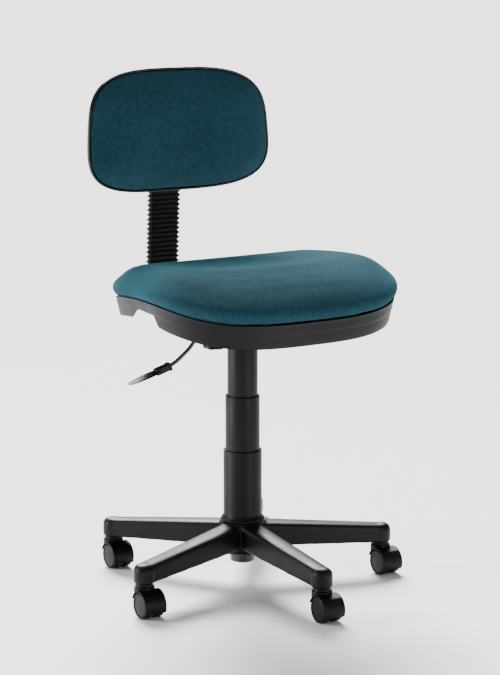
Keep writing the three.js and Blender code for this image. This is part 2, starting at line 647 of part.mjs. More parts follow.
// Everything on the upright is drawn upright at y = 0 and leant over with it.
const bendTop = {
  y: UPRIGHT_Y + JBAR_THICKNESS / 2 - (JBAR_BEND + JBAR_THICKNESS) * (1 - Math.cos(UPRIGHT_LEAN)),
  z: JBAR_Z + JBAR_THICKNESS + JBAR_BEND + (JBAR_BEND + JBAR_THICKNESS) * Math.sin(UPRIGHT_LEAN),
};
const uprightYAt = (z) =>
  bendTop.y - JBAR_THICKNESS / 2 / Math.cos(UPRIGHT_LEAN) - (z - bendTop.z) * Math.tan(UPRIGHT_LEAN);

// ---------------------------------------------------------------- seat

// Plan outline of the seat, grown by a margin all round. Its rear corners are squarer.
function seatPlan(grow, count) {
  const halfX = SEAT_WIDTH / 2 + grow;
  const halfY = SEAT_DEPTH / 2 + grow;
  const front = superellipse(halfX, halfY, SEAT_FRONT_POWER, count);
  const rear = superellipse(halfX, halfY, SEAT_REAR_POWER, count);
  return front.map((point, i) => (point[1] < 0 ? point : rear[i]))
    .map(([x, y]) => [x * (1 - (SEAT_TAPER * y) / (SEAT_DEPTH / 2)), y + SEAT_CENTRE_Y]);
}

const alongSeat = (y) => THREE.MathUtils.clamp((y - SEAT_CENTRE_Y) / (SEAT_DEPTH / 2), -1, 1);

function rimZ(y) {
  const s = alongSeat(y) - SEAT_CREST;
  return SEAT_CREST_Z - SEAT_RIM_DROP * (s / (s < 0 ? 1 + SEAT_CREST : 1 - SEAT_CREST)) ** 2;
}

// The skirt's bottom edge rises a little towards the rear.
function skirtZ(y) {
  const share = THREE.MathUtils.smoothstep(y, SEAT_CENTRE_Y - SEAT_DEPTH / 4, SEAT_CENTRE_Y);
  return rimZ(y) - THREE.MathUtils.lerp(SKIRT_HEIGHT, SKIRT_REAR_HEIGHT, share);
}

// Underside of the floor's edge, next to the skirt.
const ledgeZ = (y) => Math.max(Math.min(SHELL_FLOOR_Z, rimZ(y) - 4), rimZ(y) - LEDGE_DROP);

const seatWall = (grow, height, count = 48) =>
  seatPlan(grow, count).map(([x, y]) => new THREE.Vector3(x, y, height(y)));

// The skirt hangs below the shell's floor. It is cut away at the rear for the J-bar, and has a hand
// hold in each side.
function seatShell() {
  const floorTop = SHELL_FLOOR_Z + SKIRT_WALL;
  const ledgeTop = (y) => ledgeZ(y) + SKIRT_WALL;
  const crease = SKIRT_DRAFT * 0.3;
  const creaseZ = (y) => rimZ(y) - SKIRT_HEIGHT * 0.45;
  const tray = solid(loft([
    seatWall(-SKIRT_DRAFT, skirtZ), seatWall(-crease, creaseZ), seatWall(0, rimZ),
    seatWall(-SKIRT_WALL, rimZ), seatWall(-SKIRT_WALL - crease, ledgeTop), seatWall(-LEDGE_INSET, ledgeTop),
    seatWall(-FLOOR_INSET, () => floorTop),
  ]));
  const hollow = solid(loft([
    seatWall(-SKIRT_DRAFT - SKIRT_WALL, (y) => skirtZ(y) - 5), seatWall(-SKIRT_WALL - crease - 1, ledgeZ),
    seatWall(-LEDGE_INSET, ledgeZ), seatWall(-FLOOR_INSET, () => SHELL_FLOOR_Z),
  ]));
  const below = SHELL_FLOOR_Z - 80;
  const window = solid(block(-FLANGE_HALF_X - 2, FLANGE_HALF_X + 2, -FLANGE_HALF_Y - 2, MECH_REAR_Y + 2,
    below, floorTop + OVERLAP));
  const slant = 8;
  const rounding = 12;
  const holdOutline = [
    [HOLD_FRONT_Y - slant, below], [HOLD_REAR_Y, below], [HOLD_REAR_Y, HOLD_TOP_Z - rounding],
    [HOLD_REAR_Y - rounding, HOLD_TOP_Z], [HOLD_FRONT_Y + slant / 2, HOLD_TOP_Z],
  ];
  const reach = SEAT_WIDTH / 2;
  const holds = [-HOLD_INNER_X - reach, HOLD_INNER_X].map((x) => solid(sideExtrusion(holdOutline, x, reach)));
  const barGate = solid(block(-BAR_GATE_HALF_WIDTH, BAR_GATE_HALF_WIDTH, BAR_GATE_FRONT_Y, SEAT_DEPTH,
    below, SHELL_FLOOR_Z - 8));
  return cut(tray, hollow, window, ...holds, barGate);
}

place('seat_shell', geometryOf(seatShell()), blackPlastic);

const BOARD_BOTTOM_Z = SHELL_FLOOR_Z + SKIRT_WALL + GAP;
const BOARD_TOP_Z = BOARD_BOTTOM_Z + BOARD_THICKNESS;

function seatBoard() {
  const edge = (z) => seatWall(-BOARD_INSET, () => z, 36);
  const holes = [-BOLT_X, BOLT_X].flatMap((x) => [-BOLT_Y, BOLT_Y].map((y) =>
    solid(disc(BOLT_RADIUS + GAP, BOARD_BOTTOM_Z - 5, BOARD_TOP_Z + 5, 14).translate(x, y, 0))));
  return cut(solid(loft([edge(BOARD_BOTTOM_Z), edge(BOARD_TOP_Z)])), ...holes);
}

place('seat_board', geometryOf(seatBoard()), plywood);

// The foam lies on the board and on the tray around it, bulges over the rim and is dished on top.
function seatCushion() {
  const layer = (grow, height) => seatWall(grow, height, 40);
  const bed = (y) => Math.max(SHELL_FLOOR_Z, ledgeZ(y)) + SKIRT_WALL + 2 * SKIN_GAP;
  const above = (share) => (y) => rimZ(y) + share * CUSHION_RISE;
  const dished = (share) => (y) => rimZ(y) + CUSHION_RISE - share * CUSHION_DISH;
  return loft([
    layer(-BOARD_INSET - 20, () => BOARD_TOP_Z + GAP),
    layer(-BOARD_INSET + 1, () => BOARD_TOP_Z + GAP),
    layer(-BOARD_INSET + 1.5, bed),
    layer(-9, bed),
    layer(-4, (y) => rimZ(y) + SKIN_GAP),
    layer(0, (y) => rimZ(y) + 2 * SKIN_GAP),
    layer(CUSHION_OVERHANG, above(0.3)),
    layer(CUSHION_OVERHANG * 0.4, above(0.6)),
    layer(-12, above(0.88)),
    layer(-32, above(1)),
    layer(-75, dished(0.5)),
    layer(-140, dished(1)),
  ]);
}

place('seat_cushion', seatCushion(), tealFabric);

let boltNumber = 1;
for (const y of [-BOLT_Y, BOLT_Y]) {
  for (const x of [-BOLT_X, BOLT_X]) {
    const headTop = MECH_TOP_Z - MECH_SHEET - GAP;
    const bolt = solid(disc(7.5, headTop - 5, headTop, 6))
      .add(solid(disc(BOLT_RADIUS, headTop - OVERLAP, BOARD_TOP_Z - 1, 12)));
    place(`seat_bolt_${boltNumber}`, geometryOf(bolt), brightSteel).position.set(x, y, 0);
    boltNumber += 1;
  }
}

// ---------------------------------------------------------------- backrest

// Outline of the backrest in its own plane, grown by a margin all round: [x, z] pairs.
function backPlan(grow, count) {
  return superellipse(BACK_WIDTH / 2 + grow, BACK_HEIGHT / 2 + grow, BACK_CORNER_POWER, count)
    .map(([x, z]) => [x * (1 - (BACK_TAPER * z) / (BACK_HEIGHT / 2)), z]);
}

// Stacks [margin, depth] layers from the rear forwards. Depth is behind the rim, and every layer
// follows the backrest's curve.
function backLayers(layers, count) {
  return loft(layers.map(([grow, depth]) => backPlan(grow, count)
    .map(([x, z]) => new THREE.Vector3(x, depth - (BACK_CURVE / 2) * x * x, z))));
}

const backrest = new THREE.Group();
backrest.position.set(0, BACK_Y, BACK_Z);
backrest.rotation.x = BACK_TILT;
chair.add(backrest);

const backFloor = BACK_SHELL_DEPTH - BACK_SHELL_WALL;
const backBoardRear = backFloor - SKIN_GAP;
const backBoardFront = backBoardRear - BACK_BOARD_THICKNESS;
const padRear = backBoardFront - SKIN_GAP;

place('back_shell', backLayers([
  [-95, BACK_SHELL_DEPTH], [-55, BACK_SHELL_DEPTH], [-12, BACK_SHELL_DEPTH], [-3, BACK_SHELL_DEPTH - 4],
  [0, 1], [-1.5, -1.5], [-5.5, -1.5], [-6.5, backFloor - 2], [-14, backFloor], [-55, backFloor],
  [-95, backFloor],
], 36), glossyPlastic, backrest);

place('back_board', backLayers([
  [-95, backBoardRear], [-55, backBoardRear], [-15, backBoardRear], [-15, backBoardFront],
  [-55, backBoardFront], [-95, backBoardFront],
], 36), plywood, backrest);

// The pad's edge slopes gently inwards from the shell's lip.
place('back_cushion', backLayers([
  [-95, padRear], [-55, padRear], [-15, padRear], [-8.5, 1], [-8.5, -1],
  [-12, -0.29 * BACK_CUSHION_DEPTH], [-20, -0.54 * BACK_CUSHION_DEPTH], [-35, -0.79 * BACK_CUSHION_DEPTH],
  [-60, -0.96 * BACK_CUSHION_DEPTH], [-95, -BACK_CUSHION_DEPTH],
], 36), tealFabric, backrest);

// The sleeve, its stud, knob and pin are drawn on an upright axis and lean with the bar.
const carrier = new THREE.Group();
carrier.position.set(0, uprightYAt(SLEEVE_Z), SLEEVE_Z);
carrier.rotation.x = UPRIGHT_LEAN;
chair.add(carrier);

function backBracket() {
  const h = SLEEVE_HALF_HEIGHT;
  const w = SLEEVE_HALF_WIDTH;
  const barHalfWidth = JBAR_WIDTH / 2 + 0.4;
  const barHalfDepth = JBAR_THICKNESS / 2 + 0.4;
  const body = solid(block(-w, w, SLEEVE_FRONT, SLEEVE_REAR, -h, h));
  const slot = solid(block(-barHalfWidth, barHalfWidth, -barHalfDepth, barHalfDepth, -h - 1, h + 1));
  const pinBore = solid(
    acrossX(disc(TILT_PIN_RADIUS + GAP, -w - 1, w + 1, 14), TILT_PIN_DEPTH, TILT_PIN_HEIGHT));
  const studBore = solid(
    alongY(disc(HEIGHT_STUD_RADIUS + GAP, 0, SLEEVE_REAR + 5, 14), 0, -HEIGHT_STUD_DROP));
  return cut(body, slot, pinBore, studBore);
}

place('back_bracket', geometryOf(backBracket()), blackSteel, carrier);
place('height_stud', alongY(disc(HEIGHT_STUD_RADIUS, JBAR_THICKNESS / 2 + GAP, SLEEVE_REAR + 12, 14),
  0, -HEIGHT_STUD_DROP), brightSteel, carrier);
const heightKnob = place('height_knob', geometryOf(knob(HEIGHT_KNOB_DEPTH, HEIGHT_STUD_RADIUS)),
  blackPlastic, carrier);
heightKnob.rotation.x = -Math.PI / 2;
heightKnob.position.set(0, SLEEVE_REAR + 0.5, -HEIGHT_STUD_DROP);

// The tilt pin crosses behind the bar, through the sleeve and the hinge plate's two lugs.
carrier.updateMatrixWorld(true);
const tiltPin = carrier.localToWorld(new THREE.Vector3(0, TILT_PIN_DEPTH, TILT_PIN_HEIGHT));
const pinEnd = LUG_INNER_X + LUG_SHEET + 2;
place('tilt_pin', acrossX(disc(TILT_PIN_RADIUS, -pinEnd, pinEnd, 14), tiltPin.y, tiltPin.z), brightSteel);

const plateFrontY = BACK_Y + BACK_SHELL_DEPTH + PLATE_STANDOFF;
const plateRearY = plateFrontY + PLATE_SHEET;

function hingePlate() {
  const z = tiltPin.z;
  const plate = solid(block(-PLATE_HALF_WIDTH, PLATE_HALF_WIDTH, plateFrontY, plateRearY,
    z - PLATE_HALF_HEIGHT, z + PLATE_HALF_HEIGHT));
  const lugs = [-LUG_INNER_X - LUG_SHEET, LUG_INNER_X].map((x) => {
    const arm = solid(block(x, x + LUG_SHEET, plateFrontY, tiltPin.y, z - LUG_RADIUS, z + LUG_RADIUS));
    return arm.add(solid(acrossX(disc(LUG_RADIUS, x, x + LUG_SHEET, 18), tiltPin.y, z)));
  });
  const pinBore = solid(acrossX(disc(TILT_PIN_RADIUS + GAP, -pinEnd, pinEnd, 14), tiltPin.y, z));
  const screwHoles = [-SCREW_X, SCREW_X].map((x) =>
    solid(alongY(disc(SCREW_RADIUS + GAP, plateFrontY - OVERLAP, plateRearY + OVERLAP, 12), x, z)));
  return cut(join(plate, ...lugs), pinBore, ...screwHoles);
}

place('back_hinge_plate', geometryOf(hingePlate()), blackSteel);

for (const [number, x] of [[1, -SCREW_X], [2, SCREW_X]]) {
  const headFront = plateRearY + GAP;
  place(`back_screw_${number}`, alongY(disc(SCREW_RADIUS + 2, headFront, headFront + 3, 12), x, tiltPin.z),
    brightSteel);
}

// ---------------------------------------------------------------- bellows

// A rubber sleeve of even folds around the upright, from the bend to the underside of the bracket.
function bellows() {
  const ring = (inset, height) => {
    const [hx, hy, c] = [BELLOWS_HALF_WIDTH - inset, BELLOWS_HALF_DEPTH - inset, 5];
    return [[hx - c, -hy], [hx, -hy + c], [hx, hy - c], [hx - c, hy], [c - hx, hy], [-hx, hy - c],
      [-hx, c - hy], [c - hx, -hy]].map(([x, y]) => new THREE.Vector3(x, y, height));
  };
  const bottom = BELLOWS_BOTTOM_Z - SLEEVE_Z;
  const top = -SLEEVE_HALF_HEIGHT - GAP;
  const steps = 2 * BELLOWS_FOLDS;
  const outside = Array.from({ length: steps + 1 }, (_, i) =>
    ring(i % 2 ? 0 : FOLD_DEPTH, THREE.MathUtils.lerp(bottom, top, i / steps)));
  const bore = FOLD_DEPTH + 1.5;
  return loft([...outside, ring(bore, top), ring(bore, bottom)], true);
}

place('bellows', bellows(), blackPlastic, carrier);

export default chair;
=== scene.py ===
"""Swivel office chair: cloth cushions, moulded shells, gas lift cover, star base and casters.

Metres, +Z up. The sitter faces -Y, and the origin is on the floor under the column.
"""

import math

import bpy
from mathutils import Matrix, Vector


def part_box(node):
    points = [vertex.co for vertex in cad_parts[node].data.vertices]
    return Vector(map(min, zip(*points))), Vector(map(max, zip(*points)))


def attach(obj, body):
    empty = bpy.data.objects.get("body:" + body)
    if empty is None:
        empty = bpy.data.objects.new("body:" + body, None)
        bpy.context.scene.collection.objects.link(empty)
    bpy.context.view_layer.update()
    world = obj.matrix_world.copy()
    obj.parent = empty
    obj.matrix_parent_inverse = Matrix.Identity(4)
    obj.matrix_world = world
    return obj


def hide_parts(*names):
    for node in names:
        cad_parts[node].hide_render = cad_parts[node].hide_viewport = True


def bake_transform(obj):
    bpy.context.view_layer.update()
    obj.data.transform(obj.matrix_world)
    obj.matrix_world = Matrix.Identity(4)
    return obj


bl_info = {
    "name": "Swivel Office Chair",
    "version": (1, 0, 0),
    "blender": (4, 5, 0),
    "location": "View3D > Sidebar > Chair",
    "description": "Models an upholstered swivel chair around its working frame",
    "category": "Add Mesh",
}

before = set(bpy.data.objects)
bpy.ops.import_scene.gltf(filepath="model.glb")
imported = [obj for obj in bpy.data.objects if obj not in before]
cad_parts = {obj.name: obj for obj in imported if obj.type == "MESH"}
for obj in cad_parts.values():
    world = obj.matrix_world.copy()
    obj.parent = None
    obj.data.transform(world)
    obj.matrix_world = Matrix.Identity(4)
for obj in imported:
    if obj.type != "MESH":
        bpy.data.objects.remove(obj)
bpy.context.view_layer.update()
MM = 0.001
TURN = math.tau

CASTERS = [f"caster_{number}" for number in range(1, 6)]

# ---------------------------------------------------------------- where things are


def middle(node):
    low, high = (Vector(corner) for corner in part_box(node))
    return (low + high) / 2


def low(node):
    return Vector(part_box(node)[0])


def high(node):
    return Vector(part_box(node)[1])


SHELL_LOW, SHELL_HIGH = low("seat_shell"), high("seat_shell")
LEAN = math.radians(3.5)
RISE = Vector((0, -math.sin(LEAN), math.cos(LEAN)))

# ---------------------------------------------------------------- settings


def length(name, value, words):
    return bpy.props.FloatProperty(
        name=name, description=words, default=value, min=0, subtype="DISTANCE", unit="LENGTH")


def colour(name, value, words):
    return bpy.props.FloatVectorProperty(
        name=name, description=words, default=value, size=3, min=0, max=1, subtype="COLOR")


def share(name, value, words):
    return bpy.props.FloatProperty(
        name=name, description=words, default=value, min=0, max=4, subtype="FACTOR")


class SeatSettings(bpy.types.PropertyGroup):
    half_width: length("Half width", 221 * MM, "Middle of the seat to the shell's side")
    half_depth: length("Half depth", 201.5 * MM, "Middle of the seat to the shell's front")
    crest: length("Crest height", 541 * MM, "Highest point of the shell's rim, on each side")
    drop: length("Rim drop", 28 * MM, "How far the rim falls to the front edge and the rear edge")
    skirt: length("Skirt height", 42 * MM, "Rim to the skirt's bottom edge")
    wall: length("Wall", 2.6 * MM, "Thickness of the shell")
    rise: length("Cushion rise", 52 * MM, "Rim to the top of the cushion")
    dish: length("Dish", 9 * MM, "How deep the middle of the cushion is hollowed")
    swell: length("Swell", 3 * MM, "The most that the foam may swell under its cloth")


class BackSettings(bpy.types.PropertyGroup):
    half_width: length("Half width", 188.5 * MM, "Middle of the backrest to its side")
    half_height: length("Half height", 113 * MM, "Middle of the backrest to its top")
    shell_depth: length("Shell depth", 11 * MM, "Rim to the rear of the shell")
    cushion_depth: length("Cushion depth", 27 * MM, "Rim to the front of the cushion")
    swell: length("Swell", 3 * MM, "The most that the foam may swell under its cloth")


class BaseSettings(bpy.types.PropertyGroup):
    stem_radius: length("Stem radius", 260 * MM, "Column to each caster stem")
    hub_radius: length("Hub radius", 39 * MM, "Outside radius of the hub")
    fillet: bpy.props.IntProperty(
        name="Fillet", description="Smoothing passes that round the joints of the arms", default=9, min=1)
    wheel_radius: length("Wheel radius", 23 * MM, "Radius of a caster wheel")
    wheel_width: length("Wheel width", 15 * MM, "Width of a caster wheel")


class FinishSettings(bpy.types.PropertyGroup):
    cloth: colour("Cloth", (0.0042, 0.0190, 0.0285), "Ground colour of the cloth")
    thread: colour("Thread", (0.019, 0.078, 0.104), "Lighter thread of the cloth")
    plastic: colour("Plastic", (0.0024, 0.0024, 0.0028), "Moulded plastic")
    leather: colour("Leather", (0.0036, 0.0036, 0.0038), "Grained plastic of the star base")
    gloss: colour("Gloss", (0.0030, 0.0026, 0.0030), "Backrest shell")
    rubber: colour("Rubber", (0.0035, 0.0035, 0.0035), "Bellows")
    sheen: share("Sheen", 0.3, "How much the cloth's nap catches the light")


class StageSettings(bpy.types.PropertyGroup):
    floor: colour("Floor", (0.86, 0.86, 0.86), "Studio floor")
    key: bpy.props.FloatProperty(name="Key", description="Strength of the light from above", default=13.0)
    fill: bpy.props.FloatProperty(name="Fill", description="Strength of the light all round", default=0.36)


# ---------------------------------------------------------------- modelling


def clear_selection():
    active = bpy.context.view_layer.objects.active
    if active and active.mode != "OBJECT":
        bpy.ops.object.mode_set(mode="OBJECT")
    bpy.ops.object.select_all(action="DESELECT")


def choose(*pieces):
    clear_selection()
    for piece in pieces:
        piece.select_set(True)
    bpy.context.view_layer.objects.active = pieces[0]


def named(name):
    piece = bpy.context.object
    piece.name = piece.data.name = name
    return piece


def settle(piece):
    """Puts the piece's place, turn and scale into its mesh."""
    choose(piece)
    bpy.ops.object.transform_apply(location=True, rotation=True, scale=True)
    return piece


def with_modifier(piece, kind, **settings):
    choose(piece)
    bpy.ops.object.modifier_add(type=kind)
    modifier = piece.modifiers[-1]
    for setting, value in settings.items():
        setattr(modifier, setting, value)
    bpy.ops.object.modifier_apply(modifier=modifier.name)
    return piece


def weld(piece, distance=0.01 * MM):
    """Closes seams and poles, and turns every face outwards."""
    choose(piece)
    bpy.ops.object.mode_set(mode="EDIT")
    bpy.ops.mesh.select_all(action="SELECT")
    bpy.ops.mesh.remove_doubles(threshold=distance)
    bpy.ops.mesh.dissolve_degenerate(threshold=distance)
    bpy.ops.mesh.normals_make_consistent(inside=False)
    bpy.ops.object.mode_set(mode="OBJECT")
    return piece


def smooth(piece, angle=35):
    choose(piece)
    bpy.ops.object.shade_smooth_by_angle(angle=math.radians(angle))
    return piece


def close_up(piece, close):
    """Closes a piece's open edges with the operator given, and turns every face outwards."""
    choose(piece)
    bpy.ops.object.mode_set(mode="EDIT")
    bpy.ops.mesh.select_all(action="DESELECT")
    bpy.ops.mesh.select_mode(type="EDGE")
    bpy.ops.mesh.select_non_manifold()
    close()
    bpy.ops.mesh.select_all(action="SELECT")
    bpy.ops.mesh.normals_make_consistent(inside=False)
    bpy.ops.object.mode_set(mode="OBJECT")
    return piece


def tube(name, count, rings):
    """An upright tube of unit radius, whose ring k lies at height k until shape() places it."""
    clear_selection()
    bpy.ops.mesh.primitive_circle_add(vertices=count, radius=1)
    piece = named(name)
    bpy.ops.object.mode_set(mode="EDIT")
    bpy.ops.mesh.select_all(action="SELECT")
    for _ in range(rings - 1):
        bpy.ops.mesh.extrude_region_move(TRANSFORM_OT_translate={"value": (0, 0, 1)})
    bpy.ops.object.mode_set(mode="OBJECT")
    return piece


def shape(piece, place):
    """Moves every vertex of a tube to place(turn, ring), with turn from 0 to 1 around from +X."""
    for vertex in piece.data.vertices:
        turn = math.atan2(vertex.co.y, vertex.co.x) / TURN % 1
        vertex.co = place(turn, round(vertex.co.z))
    return weld(piece)


def scaled(*pairs):
    """Pairs of millimetres in metres."""
    return [(first * MM, second * MM) for first, second in pairs]


def turned(name, profile, segments=64):
    """A body of revolution about Z, drawn out ring by ring along (radius, height) pairs. A radius of 0
    closes it, and a profile that ends where it starts makes a ring."""
    rings = tube(name, segments, len(profile))
    return shape(rings, lambda turn, ring: (
        profile[ring][0] * math.cos(TURN * turn), profile[ring][0] * math.sin(TURN * turn), profile[ring][1]))


def box_piece(name, low_corner, high_corner):
    low_corner, high_corner = Vector(low_corner), Vector(high_corner)
    clear_selection()
    bpy.ops.mesh.primitive_cube_add(size=1, location=(low_corner + high_corner) / 2)
    piece = named(name)
    piece.scale = high_corner - low_corner
    return settle(piece)


def combine(piece, other, operation="UNION"):
    """Joins or cuts with another closed piece, which is used up."""
    choose(piece)
    bpy.ops.object.modifier_add(type="BOOLEAN")
    modifier = piece.modifiers[-1]
    modifier.operation = operation
    modifier.solver = "EXACT"
    modifier.object = other
    bpy.ops.object.modifier_apply(modifier=modifier.name)
    discard(other)
    return piece


def discard(piece):
    mesh = piece.data
    bpy.data.objects.remove(piece)
    bpy.data.meshes.remove(mesh)


def bevelled(piece, width, segments=2, angle=30):
    return with_modifier(
        piece, "BEVEL", width=width, segments=segments, limit_method="ANGLE",
        angle_limit=math.radians(angle), use_clamp_overlap=True, harden_normals=False)


def merged(pieces, name):
    choose(*pieces)
    bpy.ops.object.join()
    return named(name)


def copied(piece, name, offset):
    """A copy with its own mesh, moved by offset."""
    twin = bpy.data.objects.new(name, piece.data.copy())
    twin.data.name = name
    bpy.context.scene.collection.objects.link(twin)
    twin.location = offset
    return settle(twin)


def refined(name, node, width, angle=30):
    """A finer copy of a CAD node: its flat faces made whole and its edges rounded."""
    piece = bpy.data.objects.new(name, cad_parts[node].data.copy())
    piece.data.name = name
    piece.data.materials.clear()
    bpy.context.scene.collection.objects.link(piece)
    choose(piece)
    bpy.ops.object.mode_set(mode="EDIT")
    bpy.ops.mesh.select_all(action="SELECT")
    bpy.ops.mesh.remove_doubles(threshold=0.01 * MM)
    bpy.ops.mesh.dissolve_limited(angle_limit=math.radians(2))
    bpy.ops.object.mode_set(mode="OBJECT")
    bevelled(piece, width, 2, angle)
    return smooth(piece)


def mount(piece, body, finish, slot, *nodes):
    """Gives the piece its finish, and says what it rides on and which CAD nodes it stands for."""
    piece.data.materials.clear()
    piece.data.materials.append(finish)
    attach(piece, body)
    if nodes:
        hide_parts(*nodes)
    return piece


def rounded(corner, power):
    return math.copysign(abs(corner) ** (2 / power), corner)


def outline(half_x, half_y, powers, taper, count):
    """A rounded outline at even steps round its edge: (x, y, outward x, outward y). powers are the
    squareness of the -Y half and of the +Y half, and taper widens the -Y end."""
    fine = []
    steps = 4000
    for i in range(steps + 1):
        c, s = math.cos(TURN * i / steps), math.sin(TURN * i / steps)
        power = powers[0] if s < 0 else powers[1]
        y = rounded(s, power)
        fine.append(Vector((rounded(c, power) * half_x * (1 - taper * y), y * half_y)))
    reach = [0]
    for a, b in zip(fine, fine[1:]):
        reach.append(reach[-1] + (b - a).length)
    found, i = [], 0
    for k in range(count):
        target = reach[-1] * k / count
        while reach[i + 1] < target:
            i += 1
        part = (target - reach[i]) / (reach[i + 1] - reach[i])
        found.append(fine[i].lerp(fine[i + 1], part))
    loop = []
    for k, point in enumerate(found):
        along = found[(k + 1) % count] - found[k - 1]
        out = Vector((along.y, -along.x)).normalized()
        loop.append((point.x, point.y, out.x, out.y))
    return loop


def ease(value, start, end):
    """0 before start, 1 after end, and smooth between them."""
    part = min(1, max(0, (value - start) / (end - start)))
    return part * part * (3 - 2 * part)


# ---------------------------------------------------------------- finishes


def made_once(make):
    """Wraps a finish's function so that it makes its material at the first call and gives it after."""
    made = []

    def give(context):
        if not made:
            made.append(make(context.scene.chair_finish))
        return made[0]

    give.__doc__ = make.__doc__
    return give


def new_finish(name, **values):
    finish = bpy.data.materials.new(name)
    finish.use_nodes = True
    shader = finish.node_tree.nodes["Principled BSDF"]
    for socket, value in values.items():
        shader.inputs[socket.replace("_", " ")].default_value = value
    return finish, finish.node_tree, shader


def add_node(tree, kind, inputs=(), **settings):
    node = tree.nodes.new("ShaderNode" + kind)
    for setting, value in settings.items():
        setattr(node, setting, value)
    for socket, value in dict(inputs).items():
        if isinstance(value, bpy.types.NodeSocket):
            tree.links.new(value, node.inputs[socket])
        else:
            node.inputs[socket].default_value = value
    return node


def object_place(tree):
    return add_node(tree, "TexCoord").outputs["Object"]


def noise(tree, place, scale, detail=2.0, rough=0.5):
    inputs = {"Vector": place, "Scale": scale, "Detail": detail, "Roughness": rough}
    return add_node(tree, "TexNoise", inputs).outputs["Fac"]


def grain(tree, place, scale):
    inputs = {"Vector": place, "Scale": scale}
    return add_node(tree, "TexVoronoi", inputs, feature="F1").outputs["Distance"]


def spread(tree, value, low_end, high_end, start=0.3, end=0.7):
    inputs = {"Value": value, "From Min": start, "From Max": end, "To Min": low_end, "To Max": high_end}
    return add_node(tree, "MapRange", inputs).outputs["Result"]


def sums(tree, operation, first, second):
    return add_node(tree, "Math", {0: first, 1: second}, operation=operation).outputs[0]


def mixed(tree, factor, first, second, blend="MIX"):
    node = add_node(tree, "Mix", data_type="RGBA", blend_type=blend)
    for socket, value in ((node.inputs[0], factor), (node.inputs[6], first), (node.inputs[7], second)):
        if isinstance(value, bpy.types.NodeSocket):
            tree.links.new(value, socket)
        else:
            socket.default_value = value
    return node.outputs[2]


def bump(tree, shader, height, distance, strength=1.0):
    inputs = {"Height": height, "Distance": distance, "Strength": strength}
    tree.links.new(add_node(tree, "Bump", inputs).outputs["Normal"], shader.inputs["Normal"])


def rgba(tint, lighter=1.0):
    return (*(channel * lighter for channel in tint), 1)


def moulded(name, tint, rough, grain_size, grain_depth, flow=0.0, shine=0.28):
    """Moulded plastic: spark-eroded grain, slow changes of sheen, and faint rubbed patches."""
    finish, tree, shader = new_finish(name, IOR=1.45, Specular_IOR_Level=shine)
    place = object_place(tree)
    patches = noise(tree, place, 22, 3)
    fine = grain(tree, place, 1 / grain_size)
    dust = noise(tree, place, 260, 3, 0.65)
    shade = mixed(tree, spread(tree, patches, 0, 1), rgba(tint, 0.85), rgba(tint, 1.25))
    specks = mixed(tree, spread(tree, dust, 0, 0.25, 0.55, 0.8), shade, rgba(tint, 2.2))
    tree.links.new(specks, shader.inputs["Base Color"])
    tree.links.new(spread(tree, patches, rough - 0.05, rough + 0.06), shader.inputs["Roughness"])
    height = sums(tree, "ADD", sums(tree, "MULTIPLY", fine, 1.0), sums(tree, "MULTIPLY", dust, 0.35))
    if flow:
        height = sums(tree, "ADD", height, sums(tree, "MULTIPLY", noise(tree, place, 90, 4, 0.6), flow))
    bump(tree, shader, height, grain_depth, 0.6)
    return finish


@made_once
def cloth(settings):
    """Woven wool-type cloth on the piece's own weave map: a crepe of fine warp and weft threads in two
    teals, with slubs, and a short nap."""
    finish, tree, shader = new_finish(
        "teal_cloth", Roughness=0.92, Sheen_Weight=settings.sheen, Sheen_Roughness=0.3,
        Sheen_Tint=(0.08, 0.50, 0.62, 1), Specular_IOR_Level=0.08)
    weave = add_node(tree, "UVMap", uv_map="weave").outputs["UV"]
    pitch = 1.25 * MM
    waves = [
        add_node(tree, "TexWave", {
            "Vector": weave, "Scale": TURN / 20 / pitch, "Distortion": 1.6, "Detail": 2.0,
            "Detail Scale": 1.5}, wave_type="BANDS", bands_direction=direction).outputs["Fac"]
        for direction in ("X", "Y")]
    threads = sums(tree, "MULTIPLY", waves[0], waves[1])
    crepe = grain(tree, weave, 1 / (1.7 * MM))
    heather = noise(tree, weave, 420, 3, 0.7)
    slubs = noise(tree, weave, 95, 4, 0.6)
    wear = noise(tree, object_place(tree), 9, 2)
    nubs = spread(tree, crepe, 1, 0.35, 0.1, 0.8)
    light = sums(tree, "MULTIPLY", spread(tree, heather, 0.05, 1, 0.36, 0.66), nubs)
    ground = mixed(tree, light, rgba(settings.cloth), rgba(settings.thread))
    tone = mixed(tree, spread(tree, slubs, 0, 0.5, 0.35, 0.7), ground, rgba(settings.cloth, 0.72))
    faded = mixed(tree, spread(tree, wear, 0, 0.16), tone, rgba(settings.thread, 1.05))
    tree.links.new(faded, shader.inputs["Base Color"])
    relief = sums(tree, "ADD", threads, sums(tree, "MULTIPLY", heather, 0.9))
    relief = sums(tree, "SUBTRACT", relief, sums(tree, "MULTIPLY", crepe, 0.6))
    bump(tree, shader, relief, 0.55 * MM, 0.55)
    return finish


@made_once
def black_plastic(settings):
    return moulded("satin_plastic", settings.plastic, 0.46, 0.8 * MM, 0.05 * MM, shine=0.16)


@made_once
def leather_plastic(settings):
    """The star base has a coarser, leathery grain under a slight gloss."""
    return moulded("leather_plastic", settings.leather, 0.42, 1.6 * MM, 0.12 * MM, flow=2.2, shine=0.15)


@made_once
def gloss_plastic(settings):
    return moulded("gloss_plastic", settings.gloss, 0.2, 1.2 * MM, 0.012 * MM)


@made_once
def rubber(settings):
    return moulded("soft_rubber", settings.rubber, 0.62, 0.7 * MM, 0.04 * MM, shine=0.16)


@made_once
def acetal(settings):
    return moulded("acetal", (0.66, 0.65, 0.60), 0.42, MM, 0.02 * MM)


